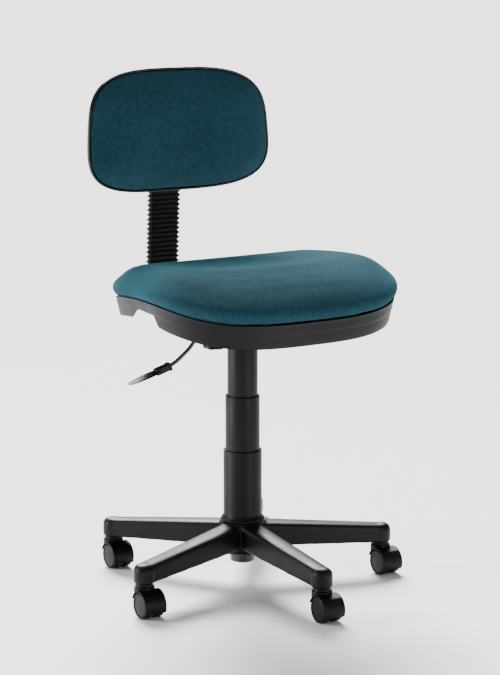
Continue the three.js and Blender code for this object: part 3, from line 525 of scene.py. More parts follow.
@made_once
def powder_coat(settings):
    """Black powder coat, with the faint orange peel of the paint."""
    finish, tree, shader = new_finish("powder_coat", Metallic=0.0, Coat_Weight=0.15, Coat_Roughness=0.3)
    place = object_place(tree)
    patches = noise(tree, place, 35, 3)
    black, worn = (0.004, 0.004, 0.0045, 1), (0.008, 0.008, 0.0085, 1)
    tree.links.new(mixed(tree, spread(tree, patches, 0, 1), black, worn), shader.inputs["Base Color"])
    tree.links.new(spread(tree, patches, 0.38, 0.5), shader.inputs["Roughness"])
    bump(tree, shader, noise(tree, place, 900, 2), 0.08 * MM, 0.6)
    return finish


@made_once
def zinc(settings):
    """Zinc plate with a light spangle, brushed along its length."""
    finish, tree, shader = new_finish("zinc_plate", Metallic=1.0)
    place = object_place(tree)
    stretched = add_node(tree, "Mapping", {"Vector": place, "Scale": (60, 60, 900)}).outputs["Vector"]
    brush = noise(tree, stretched, 1.0, 3)
    spangle = spread(tree, grain(tree, place, 260), 0, 0.6, 0.1, 0.8)
    bright, dull = (0.62, 0.63, 0.64, 1), (0.46, 0.46, 0.44, 1)
    tree.links.new(mixed(tree, spangle, bright, dull), shader.inputs["Base Color"])
    tree.links.new(spread(tree, brush, 0.22, 0.42), shader.inputs["Roughness"])
    bump(tree, shader, brush, 0.02 * MM, 0.5)
    return finish


@made_once
def plywood(settings):
    """Birch plywood: fibres along the board and wandering growth rings."""
    finish, tree, shader = new_finish("birch_plywood", Roughness=0.72)
    place = object_place(tree)
    along = add_node(tree, "Mapping", {"Vector": place, "Scale": (7, 90, 700)}).outputs["Vector"]
    fibre = noise(tree, along, 1.0, 5, 0.6)
    rings = add_node(
        tree, "TexWave", {"Vector": place, "Scale": 5, "Distortion": 9, "Detail": 2},
        bands_direction="Y").outputs["Fac"]
    wood = mixed(tree, spread(tree, fibre, 0, 1), (0.47, 0.30, 0.15, 1), (0.66, 0.47, 0.27, 1))
    ringed = mixed(tree, sums(tree, "MULTIPLY", rings, 0.35), wood, (0.36, 0.21, 0.10, 1))
    tree.links.new(ringed, shader.inputs["Base Color"])
    bump(tree, shader, fibre, 0.15 * MM, 0.5)
    return finish


def put_on(nodes, finish):
    """Gives CAD nodes that keep their own shape a finish."""
    for node in nodes:
        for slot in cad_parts[node].material_slots:
            slot.material = finish


def thread_map(piece, lie):
    """Lays the cloth's weave map on the piece: lie(vertex) gives its (u, v) in metres."""
    layer = piece.data.uv_layers.new(name="weave")
    spots = [lie(vertex.co) for vertex in piece.data.vertices]
    for loop in piece.data.loops:
        layer.data[loop.index].uv = spots[loop.vertex_index]


# ---------------------------------------------------------------- seat

SEAT_CENTRE = (SHELL_LOW.y + SHELL_HIGH.y) / 2
FLOOR_Z = 514 * MM
BOARD_TOP = high("seat_board").z
BAR_GATE = {"half_width": 125 * MM, "front": 93 * MM, "top": 507 * MM}
HAND_HOLD = {"front": -78 * MM, "rear": -12 * MM, "top": 521 * MM}
REAR_SKIRT = 35 * MM
LEDGE_DROP = 17.2 * MM
REAR_FALL = 4.5 * MM


def rim_height(seat, y):
    s = min(1, max(-1, (y - SEAT_CENTRE) / seat.half_depth)) + 0.25
    return seat.crest - seat.drop * (s / (0.75 if s < 0 else 1.25)) ** 2


def ledge_height(seat, y):
    """Underside of the floor's edge next to the skirt, which is raised above the hand holds."""
    rim = rim_height(seat, y)
    return max(min(FLOOR_Z, rim - 4 * MM), rim - LEDGE_DROP)


def skirt_bottom(seat, x, y):
    """Height of the skirt's bottom edge. It rises over the hand holds and over the bar's gate."""
    rim = rim_height(seat, y)
    rearward = ease(y, SEAT_CENTRE - seat.half_depth / 2, SEAT_CENTRE)
    bottom = rim - seat.skirt + (seat.skirt - REAR_SKIRT) * rearward
    hold = ease(y, HAND_HOLD["front"] - 8 * MM, HAND_HOLD["front"] + 5 * MM)
    hold *= 1 - ease(y, HAND_HOLD["rear"] - 2 * MM, HAND_HOLD["rear"] + 48 * MM)
    bottom += (HAND_HOLD["top"] - bottom) * hold
    if y > BAR_GATE["front"]:
        gate = 1 - ease(abs(x), BAR_GATE["half_width"], BAR_GATE["half_width"] + 12 * MM)
        bottom += max(0, BAR_GATE["top"] - bottom) * gate
    return bottom


class CHAIR_OT_seat_shell(bpy.types.Operator):
    """Moulded shell under the seat, with its skirt, its two hand holds and its window"""

    bl_idname = "chair.seat_shell"
    bl_label = "Seat Shell"

    def execute(self, context):
        seat = context.scene.chair_seat
        count = 720
        plan = outline(seat.half_width, seat.half_depth, (3, 4.5), 0.12, count)
        window = outline(101 * MM, 105 * MM, (14, 14), 0, count)
        window_y = 26 * MM
        wall = seat.wall
        # (inset, share of the skirt's height above its bottom edge, extra height): the outside, from
        # the rim's bead down past a crease to the rounded bottom edge, then up inside
        skirt = [
            (1.6, 1, 0), (-0.3, 1, 0), (-0.9, 1, -0.6), (-0.9, 1, -1.5), (-0.2, 1, -2.3), (0.4, 0.9, 0),
            (1.5, 0.74, 0), (2.5, 0.60, 0), (2.9, 0.565, 0), (3.9, 0.53, 0), (4.3, 0.46, 0), (5.6, 0.30, 0),
            (7.2, 0.12, 0), (8.3, 0.03, 0.6), (9.1, 0, 0.15), (9.9, 0, 0), (10.8, 0, 0.3), (11.4, 0, 1.4),
        ]

        def place(turn, ring):
            k = round(turn * count) % count
            x, y, out_x, out_y = plan[k]
            y_here = y + SEAT_CENTRE
            rim = rim_height(seat, y_here)
            bottom = skirt_bottom(seat, x, y_here)
            if ring < len(skirt):
                inset, part, extra = skirt[ring]
                z = bottom + (rim - bottom) * part + extra * MM
                inset *= MM * (min(1, (rim - bottom) / seat.skirt) if part < 1 else 1)
            else:
                ledge = ledge_height(seat, y_here)
                inset, z = [
                    (2.9 * MM + wall, ledge), (24 * MM, ledge), (30 * MM, FLOOR_Z), (None, FLOOR_Z),
                    (None, FLOOR_Z + wall), (30 * MM, FLOOR_Z + wall), (24 * MM, ledge + wall),
                    (2.9 * MM + wall, ledge + wall), (wall, rim - MM), (1.6 * MM, rim),
                ][ring - len(skirt)]
            if inset is None:
                return window[k][0], window[k][1] + window_y, z
            return x - out_x * inset, y_here - out_y * inset, z

        shell = shape(tube("seat_shell_moulding", count, len(skirt) + 10), place)
        smooth(shell, 40)
        mount(shell, "seat", black_plastic(context), "black_plastic", "seat_shell")
        return {"FINISHED"}


def inflate(piece, hold, swell, pressure=2.5, frames=20):
    """Lets a pad swell inside its cloth. Vertices that hold(place) says are held stay put, and no point
    moves further than swell."""
    start = [vertex.co.copy() for vertex in piece.data.vertices]
    group = piece.vertex_groups.new(name="held")
    group.add([i for i, place in enumerate(start) if hold(place)], 1, "REPLACE")
    choose(piece)
    bpy.ops.object.modifier_add(type="CLOTH")
    modifier = piece.modifiers[-1]
    settings = modifier.settings
    settings.quality = 5
    settings.mass = 0.3
    settings.use_pressure = True
    settings.uniform_pressure_force = pressure
    settings.vertex_group_mass = "held"
    settings.effector_weights.gravity = 0
    settings.tension_stiffness = settings.compression_stiffness = 40
    settings.bending_stiffness = 5
    modifier.collision_settings.use_collision = False
    modifier.point_cache.frame_start = 1
    modifier.point_cache.frame_end = frames
    scene = bpy.context.scene
    for number in range(1, frames + 1):
        scene.frame_set(number)
    bpy.ops.object.modifier_apply(modifier=modifier.name)
    scene.frame_set(1)
    piece.vertex_groups.clear()
    steps = evened(piece.data.edges, [vertex.co - place for vertex, place in zip(piece.data.vertices, start)])
    for vertex, place, step in zip(piece.data.vertices, start, steps):
        vertex.co = place + step * min(1, swell / max(step.length, 0.01 * MM))
    return piece


def evened(edges, steps, passes=30):
    """Spreads each vertex's step over its neighbours, so that the cloth lies taut, without wrinkles."""
    pairs = [tuple(edge.vertices) for edge in edges]
    for _ in range(passes):
        total = [step.copy() for step in steps]
        count = [1] * len(steps)
        for a, b in pairs:
            total[a] += steps[b]
            total[b] += steps[a]
            count[a] += 1
            count[b] += 1
        steps = [whole / number for whole, number in zip(total, count)]
    return steps


def seat_top(seat, x, y):
    """Height of the cushion's top above the rim: dished for the sitter, and lower at the rear."""
    across = x / seat.half_width
    along = (y - SEAT_CENTRE) / seat.half_depth
    bowl = math.exp(-((across / 0.62) ** 4)) * math.exp(-(((along - 0.14) / 0.48) ** 4))
    return seat.rise - seat.dish * bowl - REAR_FALL * ease(along, 0.4, 1)


def shoulder(out_x, out_y):
    """How far in from the rim the cushion's top begins: further in front, where it rolls down under
    the sitter's knees."""
    return (34 + 6 * abs(out_x) + 32 * max(0, -out_y)) * MM


class CHAIR_OT_seat_cushion(bpy.types.Operator):
    """Foam seat pad in cloth, tucked into the shell all round"""

    bl_idname = "chair.seat_cushion"
    bl_label = "Seat Cushion"

    def execute(self, context):
        seat = context.scene.chair_seat
        count = 160
        plan = outline(seat.half_width, seat.half_depth, (3, 4.5), 0.12, count)
        bottom = BOARD_TOP + 0.6 * MM
        # (inset, share of the cushion's rise) from the rim's inside up over the side
        side = [(2.6, 0.0), (-1.5, 0.05), (-5.5, 0.15), (-7.2, 0.26), (-6.6, 0.37), (-3.6, 0.47), (1, 0.55)]
        inner = [8, 14, 21, 29, 38, 50, 62, 76, 92, 110, 130, 155, 180]
        # beyond far, in mm, the rings shrink towards the middle, and they would meet it at meet
        edge, far, meet = side[-1][0], 34, 200

        def place(turn, ring):
            k = round(turn * count) % count
            x, y, out_x, out_y = plan[k]
            rim = rim_height(seat, y + SEAT_CENTRE)
            if ring == 0:
                return 0, SEAT_CENTRE, bottom
            if ring < 4:
                tray = max(FLOOR_Z, ledge_height(seat, y + SEAT_CENTRE)) + seat.wall + MM
                inset, z = [(34, bottom), (12, tray), (6.4, max(rim - 2 * MM, tray))][ring - 1]
            elif ring < 4 + len(side):
                inset, part = side[ring - 4]
                z = rim + 0.6 * MM + part * seat.rise
            elif ring < 4 + len(side) + len(inner):
                inset, z = inner[ring - 4 - len(side)], None
            else:
                return 0, SEAT_CENTRE, rim_height(seat, SEAT_CENTRE) + seat_top(seat, 0, SEAT_CENTRE)
            near = min(inset, far) * MM
            at = Vector((x - out_x * near, y - out_y * near))
            if inset > far:
                at *= 1 - (inset - far) / (meet - far)
            y_here = at.y + SEAT_CENTRE
            if z is None:
                reach = min(1, (inset - edge) * MM / (shoulder(out_x, out_y) - edge * MM))
                short = (1 - side[-1][1]) * (1 - reach) ** (2 - 0.9 * max(0, -out_y))
                z = rim_height(seat, y_here) + seat_top(seat, at.x, y_here) - short * seat.rise
            return at.x, y_here, z

        pad = shape(tube("seat_pad", count, 5 + len(side) + len(inner)), place)
        with_modifier(pad, "REMESH", mode="VOXEL", voxel_size=4 * MM, adaptivity=0)

        def tucked(spot):
            return spot.z < rim_height(seat, spot.y) + 2.5 * MM

        inflate(pad, tucked, seat.swell)
        with_modifier(pad, "SMOOTH", factor=0.5, iterations=6)
        with_modifier(pad, "SUBSURF", levels=1, render_levels=1)
        smooth(pad, 180)

        def lie(spot):
            """The cloth runs straight over the top and hangs straight down the sides."""
            out = Vector((spot.x / seat.half_width, (spot.y - SEAT_CENTRE) / seat.half_depth))
            reach = out.length
            fall = max(0, rim_height(seat, spot.y) + 0.8 * seat.rise - spot.z) * ease(reach, 0.5, 0.9)
            away = out.normalized() * fall if reach else out
            return spot.x + away.x, spot.y + away.y

        thread_map(pad, lie)
        mount(pad, "seat", cloth(context), "teal_fabric", "seat_cushion")
        return {"FINISHED"}


# ---------------------------------------------------------------- backrest

BACK_PLACE = Matrix.Translation((0, 247 * MM, 799 * MM)) @ Matrix.Rotation(math.radians(-1), 4, "X")
BACK_CURVE = 0.8


def back_outline(back, count):
    return outline(back.half_width, back.half_height, (3.4, 3.4), 0.045, count)


def back_spot(x, z, depth):
    """A point on the backrest from its place in its own plane, following the backrest's curve."""
    return BACK_PLACE @ Vector((x, depth - BACK_CURVE * x * x, z))


class CHAIR_OT_back_shell(bpy.types.Operator):
    """Glossy shell of the backrest, whose rolled rim frames the cushion"""

    bl_idname = "chair.back_shell"
    bl_label = "Backrest Shell"

    def execute(self, context):
        back = context.scene.chair_back
        count = 360
        plan = back_outline(back, count)
        deep = back.shell_depth / MM
        # (inset, depth behind the rim) in mm: the rear from its middle, the rolled side, the rim's lip,
        # then down inside it and back to the middle
        profile = [
            (None, deep), (70, deep), (40, deep), (20, deep - 0.1), (10, deep - 0.5), (5.5, deep - 1.4),
            (2.6, deep - 3), (0.9, deep - 5.2), (0.2, deep - 7.6), (0, 0.6), (0, -0.4), (0.4, -1.2),
            (1.2, -1.8), (2.4, -2), (3.6, -1.8), (4.4, -1.2), (4.8, -0.2), (5.4, 5), (7, 7.4), (14, 8),
            (40, 8), (70, 8), (None, 8),
        ]
        far = 40

        def place(turn, ring):
            x, z, out_x, out_z = plan[round(turn * count) % count]
            inset, depth = profile[ring]
            if inset is None:
                return back_spot(0, 0, depth * MM)
            near = min(inset, far) * MM
            at = Vector((x - out_x * near, z - out_z * near))
            if inset > far:
                at *= 0.55
            return back_spot(at.x, at.y, depth * MM)

        shell = smooth(shape(tube("back_shell_moulding", count, len(profile)), place), 40)
        mount(shell, "backrest", gloss_plastic(context), "gloss_black_plastic", "back_shell")
        return {"FINISHED"}


class CHAIR_OT_back_cushion(bpy.types.Operator):
    """Foam pad of the backrest in cloth, tucked behind the shell's rim"""

    bl_idname = "chair.back_cushion"
    bl_label = "Backrest Cushion"

    def execute(self, context):
        back = context.scene.chair_back
        count = 128
        plan = back_outline(back, count)
        deep = back.cushion_depth
        rear = 1.6 * MM
        # (inset, share of the cushion's depth) from behind the rim's lip over the side to the front
        side = [
            (4.3, 0.04), (4, 0.09), (5.4, 0.15), (8, 0.22), (12, 0.31), (17, 0.44), (24, 0.59), (33, 0.73),
            (45, 0.86), (60, 0.95),
        ]
        # beyond far, in mm, the rings shrink towards the middle, and they would meet it at meet
        far, meet = 40, 113

        def place(turn, ring):
            x, z, out_x, out_z = plan[round(turn * count) % count]
            if ring in (0, len(side) + 3):
                return back_spot(0, 0, rear if ring == 0 else -deep)
            inset, part = ([(60, 0), (7.2, 0)] + side)[ring - 1]
            depth = rear if ring < 3 else -part * deep
            near = min(inset, far)
            at = Vector((x - out_x * near * MM, z - out_z * near * MM))
            if inset > far:
                at *= 1 - (inset - far) / (meet - far)
            return back_spot(at.x, at.y, depth)

        pad = shape(tube("back_pad", count, len(side) + 4), place)
        with_modifier(pad, "REMESH", mode="VOXEL", voxel_size=3 * MM, adaptivity=0)
        home = BACK_PLACE.inverted()

        def tucked(spot):
            at = home @ spot
            return at.y + BACK_CURVE * at.x * at.x > -2 * MM

        inflate(pad, tucked, back.swell)
        with_modifier(pad, "SMOOTH", factor=0.5, iterations=3)
        with_modifier(pad, "SUBSURF", levels=1, render_levels=1)
        smooth(pad, 180)

        def lie(spot):
            at = home @ spot
            out = Vector((at.x / back.half_width, at.z / back.half_height))
            reach = out.length
            fall = max(0, at.y + BACK_CURVE * at.x * at.x + 0.8 * deep) * ease(reach, 0.6, 0.9)
            away = out.normalized() * fall if reach else out
            return at.x + away.x, at.z + away.y

        thread_map(pad, lie)
        mount(pad, "backrest", cloth(context), "teal_fabric", "back_cushion")
        return {"FINISHED"}


# ---------------------------------------------------------------- telescopic cover


class CHAIR_OT_covers(bpy.types.Operator):
    """The three sleeves of the telescopic column cover"""

    bl_idname = "chair.covers"
    bl_label = "Column Covers"

    def execute(self, context):
        finish = black_plastic(context)
        bodies = {"lower": "base", "middle": "cover_mid", "upper": "seat"}
        radii = {"lower": 34.5 * MM, "middle": 30.8 * MM, "upper": 27.2 * MM}
        wall = 1.5 * MM
        for which, body in bodies.items():
            node = f"cover_{which}"
            bottom, top, radius = low(node).z, high(node).z, radii[which]
            inner = radius - wall
            lip = inner - (0 if which == "upper" else MM)
            profile = [
                (inner, bottom), (radius - 0.3 * MM, bottom), (radius, bottom + 0.3 * MM),
                (radius, top - 1.6 * MM), (radius - 0.2 * MM, top - 0.8 * MM),
                (radius - 0.8 * MM, top - 0.1 * MM), (radius - 1.2 * MM, top), (lip + 0.1 * MM, top),
                (lip, top - 0.2 * MM), (lip, top - 3 * MM), (inner, top - 4 * MM), (inner, bottom),
            ]
            if which == "lower":
                flare = high(node).x
                profile[1:3] = [
                    (flare - 0.8 * MM, bottom), (flare - 0.1 * MM, bottom + 0.5 * MM),
                    (flare, bottom + 1.2 * MM), (flare - 0.1 * MM, bottom + 2.6 * MM),
                    (flare - 1.1 * MM, bottom + 3.8 * MM), (flare - 2.3 * MM, bottom + 4.6 * MM),
                    (flare - 2.9 * MM, bottom + 5.6 * MM), (radius + 1.2 * MM, bottom + 8 * MM),
                    (radius + 0.3 * MM, bottom + 9.2 * MM), (radius, bottom + 10.5 * MM),
                ]
            sleeve = smooth(turned(f"{which}_sleeve", profile, 96), 30)
            mount(sleeve, body, finish, "black_plastic", node)
        return {"FINISHED"}


# ---------------------------------------------------------------- star base

HUB_TOP = high("star_base").z
HUB_BOTTOM = low("star_base").z
SOCKET_Z = 58 * MM
TIP_TOP = 91 * MM


def arm_section(r, base):
    """Half width, underside and top of an arm at distance r from the column."""
    part = (r - base.hub_radius) / (base.stem_radius - base.hub_radius)
    half_width = (22 - 5 * part) * MM
    return half_width, SOCKET_Z + 10 * MM * (1 - part), HUB_TOP - 5 * MM + (TIP_TOP + 5 * MM - HUB_TOP) * part


class CHAIR_OT_star_base(bpy.types.Operator):
    """Five-arm moulded base: arms with rolled shoulders that run into the hub, and domed tips"""

    bl_idname = "chair.star_base"
    bl_label = "Star Base"

    def execute(self, context):
        base = context.scene.chair_base
        headings = [Matrix.Rotation(TURN * arm / 5 - TURN / 4, 4, "Z") for arm in range(5)]
        solids = []
        for heading in headings:
            solids.append(self.arm(base, heading))
            solids.append(self.tip(base, heading))
        hub = [
            (0, HUB_BOTTOM), (base.hub_radius - 4 * MM, HUB_BOTTOM), (base.hub_radius, HUB_BOTTOM + 5 * MM),
            (base.hub_radius, HUB_TOP - 3 * MM), (base.hub_radius - 2 * MM, HUB_TOP), (0, HUB_TOP),
        ]
        solids.append(turned("hub", hub, 64))
        star = merged(solids, "star_moulding")
        with_modifier(star, "REMESH", mode="VOXEL", voxel_size=2.0 * MM, adaptivity=0)
        with_modifier(star, "SMOOTH", factor=0.5, iterations=base.fillet)
        for heading in headings:
            for hollow in self.hollows(base, heading):
                combine(star, hollow, "DIFFERENCE")
        bore = turned("bore", [
            (0, HUB_BOTTOM - 9 * MM), (22.9 * MM, HUB_BOTTOM - 9 * MM), (25.4 * MM, HUB_TOP + 2 * MM),
            (0, HUB_TOP + 2 * MM)], 64)
        combine(star, bore, "DIFFERENCE")
        smooth(star, 40)
        mount(star, "base", leather_plastic(context), "black_plastic", "star_base")
        return {"FINISHED"}

    def arm(self, base, heading):
        """Drawn out from the hub to the tip, with rounded shoulders."""
        stations = [0, 0.15, 0.4, 0.7, 1]
        corner = [(0, 0), (0.5, 0.04), (0.8, 0.14), (0.95, 0.3), (1, 0.5)]
        segments, half = 24, 12

        def place(turn, ring):
            if ring in (0, len(stations) + 1):
                r = 0 if ring == 0 else base.stem_radius
                half_width, under, top = arm_section(r, base)
                return heading @ Vector((r, 0, (under + top) / 2))
            r = base.stem_radius * stations[ring - 1]
            half_width, under, top = arm_section(r, base)
            step = round(turn * segments) % segments
            side = 1 if step < half else -1
            k = step % half if side > 0 else half - 1 - step % half
            if k <= 4:
                share_x, share_z = corner[k]
                y, z = side * share_x * half_width, top - share_z * 16 * MM
            elif k <= 8:
                y, z = side * half_width, top - 8 * MM - (top - 8 * MM - under) * (k - 4) / 4
            else:
                y, z = side * half_width * (1 - (k - 8) / 3.5), under
            return heading @ Vector((r, y, z))

        return shape(tube("arm", segments, len(stations) + 2), place)

    def tip(self, base, heading):
        radius = 18.5 * MM
        shoulder, steps = 12.5 * MM, 8
        profile = [(0, SOCKET_Z), (radius, SOCKET_Z)]
        for step in range(steps + 1):
            angle = TURN / 4 * step / steps
            height = TIP_TOP + 0.6 * MM - shoulder * (1 - math.sin(angle))
            profile.append((radius - shoulder * (1 - math.cos(angle)), height))
        profile.append((0, TIP_TOP + 1.1 * MM))
        tip = turned("tip", profile, 48)
        tip.location = heading @ Vector((base.stem_radius, 0, 0))
        return settle(tip)

    def hollows(self, base, heading):
        """The space under an arm, between its ribs, and the caster's socket."""
        first, last = base.hub_radius + 6 * MM, base.stem_radius - 22 * MM
        ribs = 4
        pitch = (last - first) / ribs
        cutters = []
        for number in range(ribs):
            start = first + pitch * number + (1.3 * MM if number else 0)
            end = first + pitch * (number + 1) - 1.3 * MM
            block = box_piece("hollow", (start, -1, SOCKET_Z - 12 * MM), (end, 1, HUB_TOP))
            for vertex in block.data.vertices:
                half_width, _, top = arm_section(vertex.co.x, base)
                vertex.co.y = math.copysign(half_width - 3.5 * MM, vertex.co.y)
                if vertex.co.z > SOCKET_Z:
                    vertex.co.z = top - 5 * MM
            bevelled(block, 2 * MM, 3)
            block.matrix_world = heading
            cutters.append(settle(block))
        socket = turned("socket", [
            (0, SOCKET_Z - 3 * MM), (6.1 * MM, SOCKET_Z - 3 * MM), (6.1 * MM, SOCKET_Z + 26 * MM),
            (0, SOCKET_Z + 26 * MM)], 32)
        socket.location = heading @ Vector((base.stem_radius, 0, 0))
        cutters.append(settle(socket))
        return cutters


# ---------------------------------------------------------------- casters

TRAIL = 16.5 * MM
AXLE_Z = 23 * MM
HOOD = {"outer": 25.4 * MM, "inner": 23.9 * MM, "half_width": 20.5 * MM, "bottom": 12 * MM}


def across(piece, x=0.0, flip=1):
    """Turns a piece that was made about Z so that its axis is the axle."""
    piece.matrix_world = Matrix.Translation((x, -TRAIL, AXLE_Z)) @ Matrix.Rotation(flip * TURN / 4, 4, "Y")
    return settle(piece)


class CHAIR_OT_casters(bpy.types.Operator):
    """Five twin-wheel casters: hood, collar and ten wheels"""

    bl_idname = "chair.casters"
    bl_label = "Casters"

    def execute(self, context):
        base = context.scene.chair_base
        finish = black_plastic(context)
        hood = self.hood()
        wheel = self.wheel(base)
        for caster in CASTERS:
            stem = middle(f"{caster}_stem")
            foot = Vector((stem.x, stem.y, 0))
            mount(copied(hood, f"{caster}_cowl", foot), caster, finish, "black_plastic", f"{caster}_hood")
            for side, flip in (("right", -1), ("left", 1)):
                twin = copied(wheel, f"{caster}_{side}_disc", (0, 0, 0))
                across(twin, flip * 5.2 * MM, flip)
                twin.location = foot
                settle(twin)
                mount(twin, f"{caster}_{side}_wheel", finish, "black_plastic", f"{caster}_wheel_{side}")
            put_on([f"{caster}_stem", f"{caster}_axle"], zinc(context))
        discard(hood)
        discard(wheel)
        return {"FINISHED"}

    def hood(self):
        """A curved fender over both wheels, with a web between them and a round collar on top."""
        start, end = math.radians(-154.5), math.radians(19)
        fender = self.fender(start, end)
        web = across(turned("web", scaled((0, -4.5), (24.9, -4.5), (24.9, 4.5), (0, 4.5)), 64))
        below = box_piece("below", (-1, -1, -1), (1, 1, HOOD["bottom"]))
        combine(web, below, "DIFFERENCE")
        collar = turned("collar", scaled(
            (0, 24), (17.6, 24), (18, 31), (18, 50.5), (17.7, 51.5), (16.6, 52.2), (15.6, 52.4), (15.2, 53),
            (15.2, 56.8), (14.6, 57.4), (0, 57.4)), 64)
        drum = across(turned("drum", [
            (0, -60 * MM), (HOOD["inner"], -60 * MM), (HOOD["inner"], 60 * MM), (0, 60 * MM)], 64))
        combine(collar, drum, "DIFFERENCE")
        hood = combine(combine(fender, collar), web)
        bore = turned("bore", scaled((0, 44), (5.8, 44), (5.8, 60), (0, 60)), 32)
        combine(hood, bore, "DIFFERENCE")
        axle = across(turned("axle_bore", scaled((0, -30), (4.3, -30), (4.3, 30), (0, 30)), 32))
        combine(hood, axle, "DIFFERENCE")
        bevelled(hood, 0.5 * MM, 2, 40)
        return smooth(hood, 35)

    def fender(self, start, end):
        """A thin strip spun round the axle from low behind the wheels to above their front."""
        clear_selection()
        bpy.ops.mesh.primitive_plane_add(size=1)
        strip = named("fender")
        wall = HOOD["outer"] - HOOD["inner"]
        centre = Vector((0, -TRAIL, AXLE_Z))
        reach = (HOOD["outer"] + HOOD["inner"]) / 2
        for vertex in strip.data.vertices:
            side, rise = vertex.co.x * 2, vertex.co.y
            out = reach + rise * wall
            # behind the wheels is -Y, and the strip starts below the axle there
            vertex.co = centre + Vector((
                side * HOOD["half_width"], math.cos(start) * out, math.sin(start) * out))
        choose(strip)
        bpy.ops.object.mode_set(mode="EDIT")
        bpy.ops.mesh.select_all(action="SELECT")
        bpy.ops.mesh.spin(
            steps=48, angle=TURN - (end - start), center=centre, axis=(1, 0, 0))
        bpy.ops.object.mode_set(mode="OBJECT")
        return weld(strip)

    def wheel(self, base):
        """Tyre with rounded shoulders, and a face that is sunk inside its rim and domed at the hub."""
        r, w = base.wheel_radius, base.wheel_width
        profile = [
            (0, w - 5 * MM), (4.3 * MM, w - 5 * MM), (4.3 * MM, 0), (r - 1.8 * MM, 0),
            (r - 0.7 * MM, 0.3 * MM), (r - 0.1 * MM, 1.1 * MM), (r, 2.2 * MM), (r, w - 3.6 * MM),
            (r - 0.3 * MM, w - 2.2 * MM), (r - MM, w - 1.1 * MM), (r - 2.1 * MM, w - 0.35 * MM),
            (r - 3.2 * MM, w), (r - 3.9 * MM, w - 0.1 * MM), (r - 4.4 * MM, w - 0.6 * MM),
            (r - 4.9 * MM, w - 1.1 * MM), (r - 6 * MM, w - 1.1 * MM), (r - 12 * MM, w - 0.7 * MM),
            (5 * MM, w - 0.35 * MM), (0, w - 0.3 * MM),
        ]
        return smooth(turned("wheel", profile, 80), 30)


# ---------------------------------------------------------------- bar, bellows and lever

BAR_Z = low("j_bar").z
BAR_TOP = high("j_bar").z
UPRIGHT_Y = 291 * MM
BEND = 40 * MM


class CHAIR_OT_bar(bpy.types.Operator):
    """Flat bar that carries the backrest, with its one bend"""

    bl_idname = "chair.bar"
    bl_label = "J-bar"

    def execute(self, context):
        half, thick = 20 * MM, 8 * MM
        front = low("j_bar").y
        centre = Vector((0, UPRIGHT_Y + thick / 2 - BEND - thick, BAR_Z + thick + BEND))
        clear_selection()
        bpy.ops.mesh.primitive_plane_add(size=1)
        bar = named("back_bar")
        for vertex in bar.data.vertices:
            vertex.co = Vector((vertex.co.x * 2 * half, front, BAR_Z + (vertex.co.y + 0.5) * thick))
        choose(bar)
        bpy.ops.object.mode_set(mode="EDIT")
        bpy.ops.mesh.select_all(action="SELECT")
        bpy.ops.mesh.extrude_region_move(TRANSFORM_OT_translate={"value": (0, centre.y - front, 0)})
        bpy.ops.mesh.spin(steps=24, angle=-(TURN / 4 + LEAN), center=centre, axis=(1, 0, 0))
        bpy.ops.object.mode_set(mode="OBJECT")
        self.draw_out(bar, centre)
        weld(bar)
        bevelled(bar, 1.2 * MM, 3, 40)
        smooth(bar)
        mount(bar, "back_arm", powder_coat(context), "black_steel", "j_bar")
        return {"FINISHED"}

    def draw_out(self, bar, centre):
        """Draws the end of the bend up to the bar's full height."""
        choose(bar)
        bpy.ops.object.mode_set(mode="EDIT")
        bpy.ops.mesh.select_all(action="DESELECT")
        bpy.ops.object.mode_set(mode="OBJECT")
        end = centre.z + (BEND + 4 * MM) * math.sin(LEAN)
        for vertex in bar.data.vertices:
            vertex.select = abs(vertex.co.z - end) < 2.5 * MM and vertex.co.y > centre.y + BEND - 5 * MM
        bpy.ops.object.mode_set(mode="EDIT")
        bpy.ops.mesh.select_mode(type="VERT")
        steps = (BAR_TOP - end) / RISE.z
        bpy.ops.mesh.extrude_region_move(TRANSFORM_OT_translate={"value": RISE * steps})
        bpy.ops.object.mode_set(mode="OBJECT")


class CHAIR_OT_bellows(bpy.types.Operator):
    """Ribbed rubber sleeve around the upright, which folds as the backrest moves down"""

    bl_idname = "chair.bellows"
    bl_label = "Bellows"

    folds: bpy.props.IntProperty(name="Folds", description="Number of folds", default=25, min=4)

    def execute(self, context):
        bottom, top = low("bellows"), high("bellows")
        count = 96
        fold_rings = 6
        rings = self.folds * fold_rings + 1
        plan = outline(32.5 * MM, 11.5 * MM, (6, 6), 0, count)
        height = top.z - bottom.z
        foot = middle("bellows")
        foot.z = bottom.z
        foot.y += math.tan(LEAN) * height / 2

        def place(turn, ring):
            x, y, out_x, out_y = plan[round(turn * count) % count]
            if ring >= rings:
                inset, part = 5.4 * MM, (1 if ring == rings else 0)
            else:
                part = ring / (rings - 1)
                wave = 0.5 + 0.5 * math.cos(TURN * ring / fold_rings)
                sharp = wave ** 0.8
                inset = (0.2 + (4.4 if abs(x) > 26 * MM else 3.2) * sharp) * MM
            return foot + Vector((x - out_x * inset, y - out_y * inset, 0)) + RISE * (part * height / RISE.z)

        sleeve = shape(tube("bellows_sleeve", count, rings + 2), place)
        smooth(close_up(sleeve, bpy.ops.mesh.bridge_edge_loops), 60)
        sleeve.data.materials.append(rubber(context))
        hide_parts("bellows")
        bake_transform(sleeve)
        return {"FINISHED"}


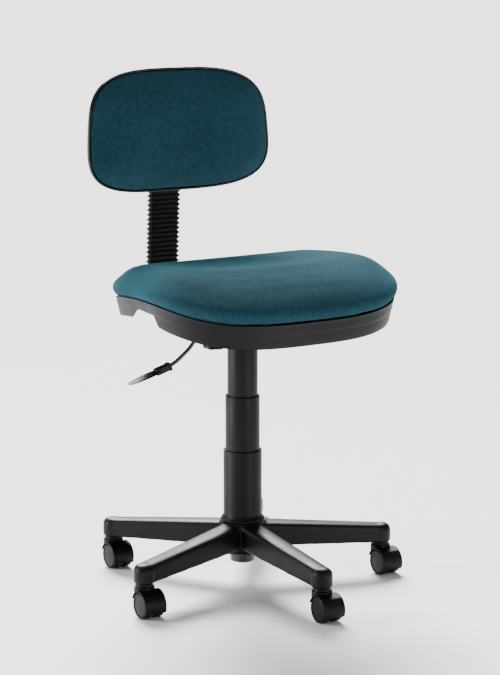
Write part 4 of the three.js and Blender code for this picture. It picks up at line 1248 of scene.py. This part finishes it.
class CHAIR_OT_lever(bpy.types.Operator):
    """Bent wire of the height lever, with its moulded paddle"""

    bl_idname = "chair.lever"
    bl_label = "Height Lever"

    def execute(self, context):
        radius = 3.5 * MM
        pivot_z = high("lever_rod").z - radius
        corners = [Vector((x * MM, 0, pivot_z + z * MM)) for x, z in
                   ((14, 0), (-84, 0), (-103, -33), (-140, -62), (-172, -71.5))]
        mount(self.wire(corners, radius), "lever", powder_coat(context), "black_steel", "lever_rod")
        direction = (corners[-1] - corners[-2]).normalized()
        paddle = self.paddle()
        paddle.matrix_world = (
            Matrix.Translation(corners[-1]) @ Matrix.Rotation(math.atan2(direction.z, -direction.x), 4, "Y"))
        settle(paddle)
        mount(paddle, "lever", black_plastic(context), "black_plastic", "lever_paddle")
        return {"FINISHED"}

    def wire(self, corners, radius):
        curve = bpy.data.curves.new("lever_wire", "CURVE")
        curve.dimensions = "3D"
        curve.bevel_depth = radius
        curve.bevel_resolution = 6
        curve.use_fill_caps = True
        bend, steps = 16 * MM, 8
        points = [corners[0]]
        for before, corner, after in zip(corners, corners[1:], corners[2:]):
            into = corner.lerp(before, bend / (corner - before).length)
            away = corner.lerp(after, bend / (corner - after).length)
            for step in range(steps + 1):
                part = step / steps
                points.append(into.lerp(corner, part).lerp(corner.lerp(away, part), part))
        points.append(corners[-1])
        spline = curve.splines.new("POLY")
        spline.points.add(len(points) - 1)
        for point, place in zip(spline.points, points):
            point.co = (*place, 1)
        wire = bpy.data.objects.new("lever_wire", curve)
        bpy.context.scene.collection.objects.link(wire)
        choose(wire)
        bpy.ops.object.convert(target="MESH")
        return smooth(weld(bpy.context.object), 50)

    def paddle(self):
        """A blade that thins to its tip, drawn out of the clip that grips the wire."""
        blade = tube("blade", 48, 12)

        def place(turn, ring):
            along = [4, 3, -2, -10, -20, -30, -40, -48, -54, -58, -60, -60.6][ring] * MM
            width = [0, 7.5, 9.6, 12.4, 13, 12.6, 11.6, 10.4, 8.6, 6, 3, 0][ring] * MM
            thick = [0, 2.4, 2.6, 2.5, 2.3, 2.1, 1.8, 1.5, 1.25, 1.0, 0.8, 0][ring] * MM
            c, s = math.cos(TURN * turn), math.sin(TURN * turn)
            return along, rounded(c, 2.6) * width, rounded(s, 3) * thick

        shape(blade, place)
        clip = box_piece("clip", (-6 * MM, -7 * MM, -6 * MM), (24 * MM, 7 * MM, 6 * MM))
        bevelled(clip, 1.6 * MM, 3)
        collar = box_piece("collar", (19 * MM, -7.8 * MM, -6.8 * MM), (25 * MM, 7.8 * MM, 6.8 * MM))
        bevelled(collar, MM, 2)
        combine(combine(clip, collar), blade)
        bore = turned("bore", scaled((0, -1), (3.8, -1), (3.8, 40), (0, 40)), 32)
        bore.matrix_world = Matrix.Rotation(TURN / 4, 4, "Y")
        combine(clip, settle(bore), "DIFFERENCE")
        clip.name = clip.data.name = "lever_grip"
        return smooth(clip, 35)


# ---------------------------------------------------------------- knobs and steelwork


class CHAIR_OT_knobs(bpy.types.Operator):
    """The two five-lobed clamping knobs"""

    bl_idname = "chair.knobs"
    bl_label = "Clamping Knobs"

    def execute(self, context):
        finish = black_plastic(context)
        depth = self.knob("depth_grip", 20 * MM, 5.3 * MM)
        seat_of = middle("depth_knob")
        place = Matrix.Translation((seat_of.x, 101 * MM, high("depth_knob").z))
        depth.matrix_world = place @ Matrix.Rotation(TURN / 2, 4, "X")
        mount(settle(depth), "depth_knob", finish, "black_plastic", "depth_knob")
        height = self.knob("height_grip", 18 * MM, 4.3 * MM)
        centre = middle("height_knob")
        height.matrix_world = (
            Matrix.Translation(centre) @ Matrix.Rotation(LEAN - TURN / 4, 4, "X")
            @ Matrix.Translation((0, 0, -9 * MM)))
        mount(settle(height), "height_knob", finish, "black_plastic", "height_knob")
        return {"FINISHED"}

    def knob(self, name, height, thread):
        profile = [
            (0.48, 0), (0.54, 0.02), (0.56, 0.18), (0.86, 0.2), (0.95, 0.24), (1, 0.32), (1, 0.72),
            (0.985, 0.84), (0.94, 0.93), (0.86, 0.98), (0.74, 1), (0.6, 1), (0.55, 0.97), (0.3, 0.95),
            (0, 0.95),
        ]

        def place(turn, ring):
            part, level = profile[ring]
            lobe = 2 * MM * math.cos(5 * TURN * turn) * ease(part, 0.55, 0.85)
            r = 19 * MM * part + lobe
            return r * math.cos(TURN * turn), r * math.sin(TURN * turn), level * height

        knob = close_up(shape(tube(name, 120, len(profile)), place), bpy.ops.mesh.edge_face_add)
        bore = turned("bore", [(0, -MM), (thread, -MM), (thread, height - 6 * MM), (0, height - 6 * MM)], 32)
        combine(knob, bore, "DIFFERENCE")
        return smooth(knob, 30)


class CHAIR_OT_steelwork(bpy.types.Operator):
    """Seat mechanism, sleeve on the upright and hinge plate, with rounded edges"""

    bl_idname = "chair.steelwork"
    bl_label = "Steelwork"

    def execute(self, context):
        coat = powder_coat(context)
        for name, node, body, width in (
            ("seat_mechanism", "mechanism_plate", "seat", 0.8 * MM),
            ("upright_sleeve", "back_bracket", "back_carrier", 1.2 * MM),
            ("hinge_leaf", "back_hinge_plate", "backrest", 0.6 * MM),
        ):
            mount(refined(name, node, width), body, coat, "black_steel", node)
        put_on(["lift_outer_tube", "lift_cylinder"], coat)
        put_on([
            "lift_piston_rod", "lift_retaining_clip", "lift_thrust_bearing", "lift_release_pin", "depth_stud",
            "height_stud", "tilt_pin", "back_screw_1", "back_screw_2", "seat_bolt_1", "seat_bolt_2",
            "seat_bolt_3", "seat_bolt_4"], zinc(context))
        put_on(["seat_board", "back_board"], plywood(context))
        put_on(["lift_guide_bush"], acetal(context))
        return {"FINISHED"}


# ---------------------------------------------------------------- stage


class CHAIR_OT_stage(bpy.types.Operator):
    """Pale studio floor, soft lights and the camera"""

    bl_idname = "chair.stage"
    bl_label = "Studio"

    def execute(self, context):
        stage = context.scene.chair_stage
        self.floor(stage)
        self.lights(stage)
        self.camera()
        return {"FINISHED"}

    def floor(self, stage):
        clear_selection()
        bpy.ops.mesh.primitive_plane_add(size=240)
        ground = named("studio_floor")
        finish, tree, shader = new_finish("studio_floor", Roughness=0.9, Specular_IOR_Level=0.1)
        place = object_place(tree)
        patches = spread(tree, noise(tree, place, 3, 3), 0, 1)
        floor = mixed(tree, patches, rgba(stage.floor), rgba(stage.floor, 1.01))
        tree.links.new(floor, shader.inputs["Base Color"])
        ground.data.materials.append(finish)

    def lights(self, stage):
        world = bpy.data.worlds.new("studio")
        world.use_nodes = True
        shade = world.node_tree.nodes["Background"]
        shade.inputs["Color"].default_value = (1, 1, 1, 1)
        shade.inputs["Strength"].default_value = stage.fill
        bpy.context.scene.world = world
        clear_selection()
        bpy.ops.object.light_add(type="SUN", location=(0, 0, 4))
        sun = bpy.context.object
        sun.name = "key_from_above"
        sun.data.energy = stage.key
        sun.data.angle = math.radians(32)
        sun.rotation_euler = Vector((-0.35, -0.95, -1)).to_track_quat("-Z", "Y").to_euler()
        for name, place, target, size, power in (
            ("left_strip", (-3.0, 1.3, 1.0), (0, 0.2, 0.75), (0.5, 1.8), 150),
            ("front_box", (0.5, -2.6, 0.5), (0, 0, 0.45), (0.9, 0.9), 18),
        ):
            place, target = Vector(place), Vector(target)
            clear_selection()
            bpy.ops.object.light_add(type="AREA", location=place)
            light = bpy.context.object
            light.name = name
            light.data.shape = "RECTANGLE"
            light.data.size, light.data.size_y = size
            light.data.energy = power
            light.rotation_euler = (target - place).to_track_quat("-Z", "Y").to_euler()

    def camera(self):
        clear_selection()
        bpy.ops.object.camera_add(
            location=(-1.966, -3.2205, 1.1749),
            rotation=(math.radians(79.107), 0, math.radians(-31.604)))
        camera = bpy.context.object
        camera.name = "camera"
        camera.data.lens = 115.4
        camera.data.sensor_width = 36
        bpy.context.scene.camera = camera


# ---------------------------------------------------------------- panel and registration

STEPS = (
    CHAIR_OT_star_base, CHAIR_OT_casters, CHAIR_OT_covers, CHAIR_OT_bar, CHAIR_OT_bellows, CHAIR_OT_lever,
    CHAIR_OT_knobs, CHAIR_OT_steelwork, CHAIR_OT_seat_shell, CHAIR_OT_seat_cushion, CHAIR_OT_back_shell,
    CHAIR_OT_back_cushion, CHAIR_OT_stage,
)

GROUPS = {
    "chair_seat": SeatSettings, "chair_back": BackSettings, "chair_base": BaseSettings,
    "chair_finish": FinishSettings, "chair_stage": StageSettings,
}


class CHAIR_PT_panel(bpy.types.Panel):
    """The chair's pieces and settings"""

    bl_idname = "CHAIR_PT_panel"
    bl_label = "Swivel Office Chair"
    bl_space_type = "VIEW_3D"
    bl_region_type = "UI"
    bl_category = "Chair"

    def draw(self, context):
        for group in GROUPS:
            box = self.layout.box()
            for setting in getattr(context.scene, group).bl_rna.properties.keys()[1:]:
                box.prop(getattr(context.scene, group), setting)
        for step in STEPS:
            self.layout.operator(step.bl_idname)


def register():
    for group in GROUPS.values():
        bpy.utils.register_class(group)
    for name, group in GROUPS.items():
        setattr(bpy.types.Scene, name, bpy.props.PointerProperty(type=group))
    for step in (*STEPS, CHAIR_PT_panel):
        bpy.utils.register_class(step)


def unregister():
    for step in (CHAIR_PT_panel, *reversed(STEPS)):
        bpy.utils.unregister_class(step)
    for name in GROUPS:
        delattr(bpy.types.Scene, name)
    for group in GROUPS.values():
        bpy.utils.unregister_class(group)


def main():
    register()
    bpy.ops.chair.star_base()
    bpy.ops.chair.casters()
    bpy.ops.chair.covers()
    bpy.ops.chair.bar()
    bpy.ops.chair.bellows()
    bpy.ops.chair.lever()
    bpy.ops.chair.knobs()
    bpy.ops.chair.steelwork()
    bpy.ops.chair.seat_shell()
    bpy.ops.chair.seat_cushion()
    bpy.ops.chair.back_shell()
    bpy.ops.chair.back_cushion()
    bpy.ops.chair.stage()


if __name__ == "__main__":
    main()
